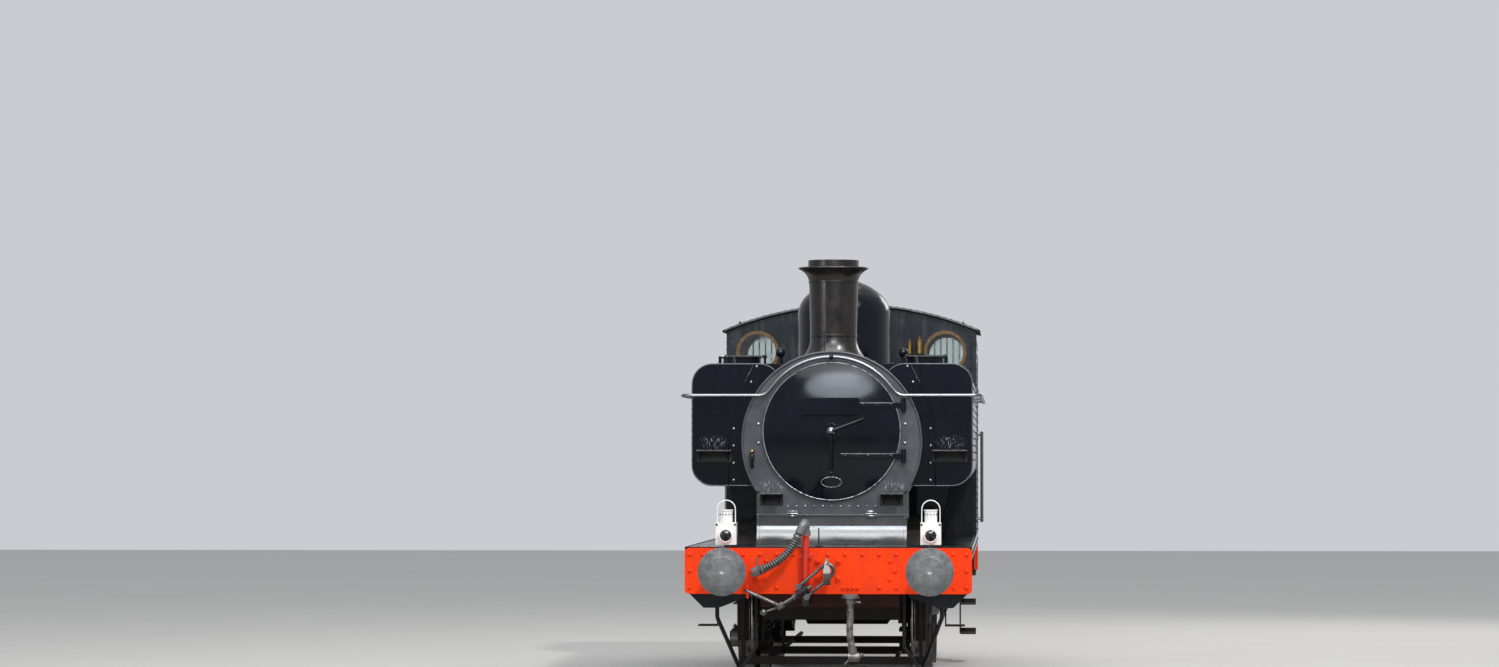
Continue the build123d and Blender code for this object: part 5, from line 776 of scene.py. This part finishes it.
# Pannier tanks: the lap of the inner front plate, its bolts, and rows of rivets along the sides.
tankTrim = {"frontY": -3.250, "side": 1.220, "rivet": 0.0095, "bolt": 0.0145, "bolts": (
    (0.855, 1.843, 0.855, 2.289, 4), (0.703, 2.694, 0.703, 2.694, 1), (0.655, 2.830, 0.655, 2.830, 1)),
    "bands": (-3.215, -1.990, -0.700, 0.590, 1.815)}
ty, tx, rivet = tankTrim["frontY"], tankTrim["side"], tankTrim["rivet"]
lapLine = ((0.897, 1.800), (0.897, 2.330), (0.800, 2.615), (0.680, 2.850))
seams = [softPath([(side * x, ty, z) for x, z in lapLine], 0.06) for side in (-1, 1)]
addPiece("tankFrontLaps", [carried(seam, boxSection(0.010, -0.002, 0.006), ahead) for seam in seams],
         glossBlackEnamel)
tankBolts = bothSides(rowsOn(1, ty, ahead, tankTrim["bolt"], tankTrim["bolts"]))
apronBolts = bothSides([oneAt((0.6375, -3.371, 1.522), facing, 0.009) for facing in (ahead, left)])
addPiece("tankFrontBolts", [stamped(snapHead, tankBolts + apronBolts)], polishedSteel)
tankLines = [(-3.215, z, 1.815, z, 78) for z in (2.020, 2.650)]
tankLines += [(y, 2.085, y, 2.585, 9) for y in tankTrim["bands"]]
tankRows = bothSides(rowsOn(0, tx, left, rivet, tankLines) + rowsOn(2, 2.856, upward, rivet, [
    (0.520, -3.200, 0.520, -2.50, 11), (1.000, -3.200, 1.000, 1.800, 62)]))
addPiece("tankRivets", [stamped(snapHead, tankRows)], glossBlackEnamel)
# Front edge of each step in bright steel: worn by boots, and a painted highlight of the lit edge.
stepEdges = ((1.022, 0.152, 2.101, -3.375), (0.520, 0.097, 1.727, -3.450))
edgeParts = [carried([(side * x - half, y + 0.002, z - 0.001), (side * x + half, y + 0.002, z - 0.001)],
                     boxSection(0.008, -0.003, 0.0012), ahead)
             for x, half, z, y in stepEdges for side in (-1, 1)]
addPiece("stepWornAndHighlightEdges", edgeParts, rubbedAndHighlightSteel, smooth=False)
print("stage: tank trim")

# Cab and bunker rivets, and the half-round bead that edges each doorway.
cabTrim = {"side": 1.219, "front": 1.850, "bunkerBack": 4.150, "bunkerTopBack": 4.310, "rivet": 0.0095}
cx, bb, tb, rivet = (cabTrim[key] for key in ("side", "bunkerBack", "bunkerTopBack", "rivet"))
cabRows = rowsOn(1, cabTrim["front"], ahead, rivet, [(1.166, 2.905, 1.166, 3.205, 4)])
cabRows += rowsOn(0, cx, left, rivet, [
    (1.880, 1.345, 1.880, 3.170, 27), (1.945, 1.310, 2.600, 1.310, 10), (1.945, 3.150, 3.290, 3.150, 19),
    (3.300, 1.345, 3.300, 3.120, 26), (3.360, 1.345, 3.360, 2.640, 19), (3.425, 1.310, 4.060, 1.310, 10),
    (4.115, 1.310, 4.115, 1.880, 9), (3.425, 2.640, 4.250, 2.640, 12), (4.268, 2.240, 4.268, 2.640, 6)])
cabRows += rowsOn(1, bb, behind, rivet, [(1.180, 1.345, 1.180, 1.880, 8)])
cabRows += rowsOn(1, tb, behind, rivet, [(1.180, 2.240, 1.180, 2.640, 6)])
cabRows = bothSides(cabRows)
for rowY, rowZ in ((bb, 1.310), (tb, 2.640), (bb, 1.895)):
    cabRows += rowsOn(1, rowY, behind, rivet, [(-1.110, rowZ, 1.110, rowZ, 31)])
addPiece("cabRivets", [stamped(snapHead, cabRows)], glossBlackEnamel)
doorBead = {
    "line": ((2.640, 1.322), (2.640, 2.358), (2.330, 2.358), (2.330, 3.068), (3.170, 3.068), (3.170, 1.322)),
    "easing": (0.02, 0.15, 0.15, 0.15), "radius": 0.009}
beadParts = [
    carried(softPath([(side * (cx - 0.001), y, z) for y, z in doorBead["line"]],
                     np.array(doorBead["easing"])[:, None]),
            roundSection(doorBead["radius"], 10), (side, 0, 0)) for side in (-1, 1)]
addPiece("doorwayBeads", beadParts, polishedSteel)

# Roof: rivets along its three bands.
roofTrim = {"radius": 3.205, "centreZ": 0.334, "half": 1.200, "bands": (1.810, 2.590, 3.370), "rivet": 0.007}
roofRadius, roofEdge = roofTrim["radius"], roofTrim["half"] / roofTrim["radius"]
roofRows = [
    oneAt((roofRadius * np.sin(a), y, roofTrim["centreZ"] + roofRadius * np.cos(a)),
          (np.sin(a), 0, np.cos(a)), roofTrim["rivet"])
    for y in roofTrim["bands"] for a in np.linspace(-roofEdge, roofEdge, 36)]
addPiece("roofRivets", [stamped(snapHead, roofRows)], sootyRoofEnamel)

# Running plate valance and frame rivets.
frameTrim = {"side": 0.622, "rivet": 0.010, "valance": 1.219, "valanceRivet": 0.0085}
edgeRows = rowsOn(0, frameTrim["valance"], left, frameTrim["valanceRivet"], [(-4.05, 1.222, 4.05, 1.222, 46)])
edgeRows += rowsOn(0, frameTrim["side"], left, frameTrim["rivet"], [
    (-4.10, 1.235, -3.70, 1.235, 5), (-3.760, 0.880, -3.760, 1.180, 4), (3.760, 0.880, 3.760, 1.180, 4),
    (-1.500, 0.720, -1.500, 1.200, 6), (0.4825, 0.720, 0.4825, 1.200, 6), (2.620, 0.760, 2.620, 1.200, 5),
    (-3.30, 1.225, -2.62, 1.225, 7)])
addPiece("frameRivets", [stamped(snapHead, bothSides(edgeRows))], frameBlackGrime)
print("stage: cab, roof and frame rivets")


# The smokebox door's own trim: it rides the door, so it turns with it.
doorTrim = {
    "centreZ": 2.266, "backY": -3.4323, "dish": 2.125, "bead": 0.595, "beadY": -3.3475, "strapHalf": 0.022,
    "strapProud": 0.0115, "straps": ((2.493, 0.250), (2.053, 0.085)), "plateHalf": (0.242, 0.075),
    "plateZ": 2.482, "plateY": -3.4463, "ovalZ": 1.826, "ovalHalf": (0.088, 0.044),
    "nut": 0.012, "screw": 0.007, "screwIn": 0.019, "screwUp": 0.052,
}


def onDish(x, z, proud):
    # the dished door: y = back + dish - sqrt(dish^2 - distance from the centre^2), brought forward by proud
    away = x ** 2 + (z - doorTrim["centreZ"]) ** 2
    dish = doorTrim["dish"]
    return np.stack([x, doorTrim["backY"] + dish - np.sqrt(dish ** 2 - away) - proud, z], -1)


strapHighlightParts, strapNutRows = [], []
for strapZ, strapIn in doorTrim["straps"]:
    run = np.linspace(strapIn, 0.535, 16)
    # a bright strip along the top edge of each strap: painted highlight
    edge = onDish(run, np.full_like(run, strapZ + doorTrim["strapHalf"] - 0.003), doorTrim["strapProud"])
    strapHighlightParts.append(carried(edge, boxSection(0.006, -0.003, 0.0012), ahead))
    for x in (strapIn + 0.03, (strapIn + 0.54) / 2, 0.51):
        seat = onDish(np.array(x), np.array(strapZ), doorTrim["strapProud"])
        strapNutRows.append(oneAt(seat, ahead, doorTrim["nut"]))
addPiece("strapPaintedHighlights", strapHighlightParts, rubbedAndHighlightSteel, "smokebox_door", smooth=False)
addPiece("strapNuts", [stamped(hexNut, strapNutRows)], glossBlackEnamel, "smokebox_door",
         smooth=False)
halfX, halfZ, plateY, plateZ = (*doorTrim["plateHalf"], doorTrim["plateY"], doorTrim["plateZ"])
rimLine = roundedLoop(0.0, plateZ, halfX - 0.005, halfZ - 0.005, 0.008, plateY)
addPiece("doorPlateRim", [carried(rimLine, boxSection(0.006, -0.002, 0.003), ahead, loop=True)],
         smokeboxGraphite, "smokebox_door")
screwX, screwUp = halfX - doorTrim["screwIn"], doorTrim["screwUp"]
plateScrews = bothSides(rowsOn(1, plateY, ahead, doorTrim["screw"], [
    (screwX, plateZ - screwUp, screwX, plateZ + screwUp, 2)]))
addPiece("doorPlateScrews", [stamped(snapHead, plateScrews)], glossBlackEnamel, "smokebox_door")
ovalX, ovalZ = doorTrim["ovalHalf"]
oval = onDish(ovalX * np.cos(circle(64)), doorTrim["ovalZ"] + ovalZ * np.sin(circle(64)), 0.0)
addPiece("doorBlankOval", [carried(oval, boxSection(0.007, -0.004, 0.004), ahead, loop=True)],
         rubbedAndHighlightSteel, "smokebox_door")
bossProfiles = (
    (doorTrim["backY"], 48, [(0.064, 0.0), (0.070, 0.004), (0.070, 0.012), (0.062, 0.016), (0.056, 0.017)]),
    (-3.4895, 40, [(0.030, 0.0), (0.036, 0.003), (0.036, 0.008), (0.026, 0.013), (0.022, 0.014)]),
    (-3.5740, 32, [(0.0205, -0.004), (0.0205, 0.006), (0.016, 0.011), (0.006, 0.014), (0.001, 0.0145)]))
bossRings = [
    turned(profile, (0, y, doorTrim["centreZ"]), ahead, around) for y, around, profile in bossProfiles]
addPiece("doorBossRings", bossRings, polishedSteel, "smokebox_door")
# A bright steel bead round the door's bevelled edge: painted highlight.
beadLine = np.stack([doorTrim["bead"] * np.cos(circle(160)), np.full(160, doorTrim["beadY"]),
                     doorTrim["centreZ"] + doorTrim["bead"] * np.sin(circle(160))], -1)
addPiece("doorEdgeBead", [carried(beadLine, roundSection(0.0055, 10), ahead, loop=True)], rubbedAndHighlightSteel,
         "smokebox_door")
print("stage: door trim")

# Round beads that edge the tank fronts and the roof ends, in a grey that paints a highlight along each edge.
edgeBeads = {
    "tankMiddle": (0.834, 2.324), "tankHalf": (0.382, 0.528), "corner": 0.176, "tank": 0.006,
    "roof": 0.009, "roofEnds": (1.793, 3.387), "roofRadius": 3.193}
tankParts = [
    carried(roundedLoop(side * edgeBeads["tankMiddle"][0], edgeBeads["tankMiddle"][1], *edgeBeads["tankHalf"],
                        edgeBeads["corner"], ty + 0.003),
            roundSection(edgeBeads["tank"], 8), ahead, loop=True)
    for side in (-1, 1)]
addPiece("tankFrontBeads", tankParts, paintedHighlightEnamel)
roofLine = np.linspace(-0.400, 0.400, 80)
roofParts = [
    carried(np.stack([edgeBeads["roofRadius"] * np.sin(roofLine), np.full(80, y),
                      roofTrim["centreZ"] + edgeBeads["roofRadius"] * np.cos(roofLine)], -1),
            roundSection(edgeBeads["roof"], 10), ahead) for y in edgeBeads["roofEnds"]]
addPiece("roofEndBeads", roofParts, paintedHighlightEnamel)

# Lamps: a bull's-eye, dark with painted shade, in a rim, a burner vent on the cap, and a lug at each side of
# the body.
lampTrim = {"x": 0.870, "z": 1.376, "faceY": -4.169, "rim": 0.058, "glass": 0.047, "bodyY": -4.070,
            "lug": (0.0775, -4.1445, 1.470), "vent": 0.0545, "ventZ": 1.555}
lampX, bodyY, rim, glass, vent = (lampTrim[key] for key in ("x", "bodyY", "rim", "glass", "vent"))
lugAside, lugY, lugZ = lampTrim["lug"]
rimParts, glassParts, lugParts = [], [], []
for side in (-1, 1):
    spot = (side * lampX, lampTrim["faceY"], lampTrim["z"])
    rimSection = [(glass, 0.0), (rim, 0.0), (rim, 0.005), (rim - 0.004, 0.009), (glass + 0.002, 0.007)]
    rimParts.append(ringOf(rimSection, spot, ahead, 48))
    glassParts.append(turned([(glass, 0.0), (glass, 0.002), (0.042, 0.006), (0.032, 0.0105), (0.018, 0.0135),
                              (0.002, 0.0145)], spot, ahead, 48))
    for lug in (-1, 1):
        lugParts.append(turned([(0.009, -0.004), (0.009, 0.006), (0.006, 0.009)],
                               (side * lampX + lug * lugAside, lugY, lugZ), ahead, 16))
addPiece("lampRims", rimParts, whiteLampEnamel)
addPiece("lampBullseyes", glassParts, lampGlassPaintedShade)
addPiece("lampLugs", lugParts, frameBlackGrime)
lampVents = [
    oneAt((side * lampX + vent * np.cos(a), bodyY + vent * np.sin(a), lampTrim["ventZ"]),
          (np.cos(a), np.sin(a), 0), 0.006) for side in (-1, 1) for a in circle(12)]
addPiece("lampVents", [stamped(snapHead, lampVents)], frameBlackGrime)
print("stage: lamps")


def ridged(runs, along, radii):
    # profile of equal ridges: at each run, the four corners of one ridge
    return np.stack([np.tile(radii, len(runs)), np.repeat(runs, 4) + np.tile(along, len(runs))], -1)


# Screw couplings: ribs round the dark sleeve and a square thread on the screw, at both ends of the engine.
coupling = {
    "nutOne": (-0.212, -4.273, 0.904), "nutTwo": (-0.401, -4.273, 0.785), "sleeve": 0.034, "screw": 0.016}
nutOne, sleeve, screw = np.array(coupling["nutOne"]), coupling["sleeve"], coupling["screw"]
way = unit(np.array(coupling["nutTwo"]) - nutOne)
ribProfile = ridged(np.linspace(-0.048, 0.048, 8), (-0.0052, -0.0035, 0.0035, 0.0052),
                    (sleeve + 0.0008, sleeve + 0.006, sleeve + 0.006, sleeve + 0.0008))
threadProfile = ridged(np.linspace(0.100, 0.185, 13), (-0.0022, -0.0010, 0.0010, 0.0022),
                       (screw - 0.0005, screw + 0.003, screw + 0.003, screw - 0.0005))
addPiece("couplingSleeves", [turned(ribProfile, nutOne * end, way * end, 28) for end in (1.0, halfTurn)],
         frameBlackGrime)
addPiece("couplingThreads", [turned(threadProfile, nutOne * end, way * end, 20) for end in (1.0, halfTurn)],
         forgedCouplingSteel)

# Clips that hold the brake hose on its neck and on its stowing stub.
hoseClip = [(0.0335, 0.006), (0.0375, 0.006), (0.0385, 0.010), (0.0385, 0.024), (0.0375, 0.028),
            (0.0335, 0.028)]
hoseClips = [ringOf(hoseClip, vacuumLine[end], unit(vacuumLine[onward] - vacuumLine[end]), 40)
             for end, onward in ((2, 5), (-3, -6))]
addPiece("brakeHoseClips", hoseClips, galvanisedFitting)
print("stage: couplings and hose clips")

# Oil cups on the coupling rods, riding each rod.
oilCup = [(0.012, -0.006), (0.012, 0.006), (0.018, 0.010), (0.019, 0.026), (0.014, 0.031), (0.008, 0.033),
          (0.008, 0.040), (0.002, 0.042)]
# each rod's x, how far its bosses stand behind the axles, and their height
rodCups = {"Left": (0.881, 0.280, 0.733), "Right": (-0.881, 0.0, 0.453)}
for end, (cupX, back, bossZ) in rodCups.items():
    cups = [
        turned(oilCup, (cupX, axleY + back, bossZ + 0.080), upward, 20) for axleY in axlePlaces.values()]
    addPiece("oilCups" + end, cups, castBrass, "coupling_rod_" + end.lower())

# Cab gauges: a white dial with thirteen ticks and a needle in a brass bezel. Nothing is written on them.
gauge = {"places": ((0.300, 2.768), (-0.300, 2.768)), "faceY": 2.365, "dial": 0.072, "ticks": (0.054, 0.066),
         "bezel": [(0.069, 0.0), (0.086, 0.0), (0.086, 0.006), (0.080, 0.012), (0.072, 0.010)]}
dialParts, bezelParts, tickParts = [], [], []
for gx, gz in gauge["places"]:
    spot = (gx, gauge["faceY"], gz)
    dial = [(gauge["dial"], -0.002), (gauge["dial"], 0.002), (0.001, 0.002)]
    dialParts.append(turned(dial, spot, behind, 48))
    bezelParts.append(ringOf(gauge["bezel"], spot, behind, 48))
    for a in np.radians(np.arange(-120, 121, 20)):
        tick = [(gx + r * np.sin(a), gauge["faceY"] + 0.002, gz + r * np.cos(a)) for r in gauge["ticks"]]
        tickParts.append(carried(tick, boxSection(0.003, -0.001, 0.0006), behind))
    needle = [(gx - 0.010, gauge["faceY"] + 0.004, gz - 0.012),
              (gx + 0.034, gauge["faceY"] + 0.004, gz + 0.042)]
    tickParts.append(carried(needle, boxSection(0.004, -0.001, 0.001), behind))
addPiece("gaugeDials", dialParts, gaugeDialEnamel)
addPiece("gaugeBezels", bezelParts, castBrass)
addPiece("gaugeTicks", tickParts, frameBlackGrime, smooth=False)
# Copper pipes down the backhead and from the manifold to each gauge, and brass valve wheels on the manifold.
backheadTrim = {
    "pipeY": 2.330, "gaugePipeY": 2.345, "pipe": 0.011, "bend": 0.025, "wheelY": 2.378, "wheelZ": 2.708,
    "wheels": (-0.120, 0.0, 0.120)}
pipeRuns = (
    (backheadTrim["pipeY"], ((0.150, 2.664), (0.150, 2.610), (0.430, 2.560), (0.430, 1.300))),
    (backheadTrim["pipeY"], ((0.095, 2.664), (0.095, 2.570), (0.375, 2.500), (0.375, 1.300))),
    (backheadTrim["gaugePipeY"], ((0.300, 2.690), (0.300, 2.640), (0.178, 2.640), (0.178, 2.670))))
pipeParts = [
    carried(softPath([(side * x, y, z) for x, z in corners], backheadTrim["bend"]),
            roundSection(backheadTrim["pipe"], 10), behind) for y, corners in pipeRuns for side in (-1, 1)]
addPiece("backheadPipes", pipeParts, cabCopperPipe)
valveParts = []
for x in backheadTrim["wheels"]:
    spot = (x, backheadTrim["wheelY"], backheadTrim["wheelZ"])
    valveParts += [
        turned([(0.012, -0.004), (0.012, 0.012), (0.006, 0.016), (0.006, 0.052), (0.002, 0.054)],
               spot, behind, 16),
        ringOf([(0.022, 0.038), (0.030, 0.036), (0.034, 0.041), (0.030, 0.046), (0.022, 0.044)],
               spot, behind, 28),
        turned([(0.024, 0.039), (0.024, 0.043), (0.002, 0.043)], spot, behind, 28)]
addPiece("backheadValves", valveParts, castBrass)
print("stage: cab gauges and pipes")

# A knob where the arched handrail is held over the smokebox, and rivets along the running plate.
archKnob = turned([(0.009, -0.085), (0.009, -0.024), (0.018, -0.018), (0.024, 0.0), (0.018, 0.018),
                   (0.008, 0.024)], (0.0, -3.400, 2.910), ahead, 24)
addPiece("archKnob", [archKnob], glossBlackEnamel)
plateTrim = {"top": 1.282, "rivet": 0.007}
plateTop, rivet = plateTrim["top"], plateTrim["rivet"]
plateRows = bothSides(rowsOn(2, plateTop, upward, rivet, [(1.195, -4.10, 1.195, 4.10, 84)]))
plateRows += rowsOn(2, plateTop, upward, rivet, [
    (-1.10, -4.148, 1.10, -4.148, 24), (-1.10, 4.157, 1.10, 4.157, 24)])
addPiece("runningPlateRivets", [stamped(snapHead, plateRows)], glossBlackEnamel)
print("stage: arch knob and running plate rivets")

# Floor, backdrop and light

stageLook = {
    "floor": "C6C4C0", "dull": "C4C2BE", "pale": "CAC8C5", "half": 60.0, "world": "C9CCD1",
    "worldLight": 1.05}
floorPaint, add, floorPlace = startFinish("studioFloorPaint", {
    "colour": stageLook["floor"], "roughness": 0.7, "mirror": 0.0})
mottle = add("TexNoise", floorPlace, 0.7, 4.0)
tone = add("Mix", mottle, linear(stageLook["dull"]), linear(stageLook["pale"]), data_type="RGBA")
joinUp(floorPaint, {"Base Color": tone})
half = stageLook["half"]
floorMesh = bpy.data.meshes.new("studioFloor")
floorMesh.from_pydata([(-half, -half, 0), (half, -half, 0), (half, half, 0), (-half, half, 0)], [],
                      [(0, 1, 2, 3)])
floorMesh.materials.append(floorPaint)
floor = bpy.data.objects.new("studioFloor", floorMesh)
bpy.context.scene.collection.objects.link(floor)

world = bpy.data.worlds.new("studio")
bpy.context.scene.world = world
world.use_nodes = True
world.node_tree.nodes.clear()
add = functools.partial(addNode, world.node_tree)
rays = add("LightPath").node.outputs
seen = add("Math", rays["Is Camera Ray"], rays["Is Glossy Ray"], operation="MAXIMUM")
seen = add("Math", seen, rays["Is Transmission Ray"], operation="MAXIMUM")
strength = add("MapRange", seen, 0.0, 1.0, stageLook["worldLight"], 1.0)
add("OutputWorld", add("Background", linear(stageLook["world"]), strength))

lightColour = {"front": (0.80, 0.89, 1.0), "rest": (1.0, 0.985, 0.96)}
softLights = (
    # name, place, aimed at, size, watts, and whether it lights matt surfaces or shows only in gloss
    ("sunRight", (8.0, -15.0, 17.0), (0.0, -2.0, 1.6), (1.2, 1.2), 2800.0, True),
    ("frontHigh", (0.6, -17.0, 9.2), (0.0, -3.4, 2.4), (5.0, 2.2), 150.0, True),
    ("frontStrip", (0.0, -8.2, 11.5), (0.0, -3.4, 1.4), (9.0, 2.4), 360.0, True),
    ("fillLeft", (-11.0, -12.0, 6.0), (0.0, -1.0, 1.6), (6.0, 6.0), 200.0, True),
    ("topStrip", (0.0, 0.5, 12.0), (0.0, 0.0, 2.0), (6.0, 14.0), 330.0, True),
    ("backRight", (8.0, 13.0, 8.0), (0.0, 2.0, 1.6), (6.0, 5.0), 380.0, True),
    ("frontSkyPanel", (0.6, -17.0, 8.2), (0.0, -3.4, 2.4), (9.0, 3.8), 1150.0, False),
    ("overheadSky", (0.0, -8.5, 10.5), (0.0, -3.4, 1.4), (16.0, 12.0), 2100.0, False),
    ("frontSideStrip", (-10.0, -13.5, 4.5), (0.0, -3.4, 2.6), (0.9, 5.0), 150.0, False),
)
for name, place, target, size, watts, lightsMatt in softLights:
    lamp = bpy.data.lights.new(name, "AREA")
    lamp.shape = "RECTANGLE" if lightsMatt else "ELLIPSE"
    lamp.size, lamp.size_y = size
    lamp.energy = watts
    lamp.color = lightColour["front" if name.startswith("front") else "rest"]
    light = bpy.data.objects.new(name, lamp)
    light.location = place
    light.visible_diffuse = lightsMatt
    aim = np.array(target) - np.array(place)
    light.rotation_euler = (
        math.atan2(math.hypot(aim[0], aim[1]), -aim[2]), 0.0, math.atan2(aim[1], aim[0]) - math.pi / 2)
    bpy.context.scene.collection.objects.link(light)
bpy.context.scene.view_settings.view_transform = "Standard"
print("stage: floor and light")
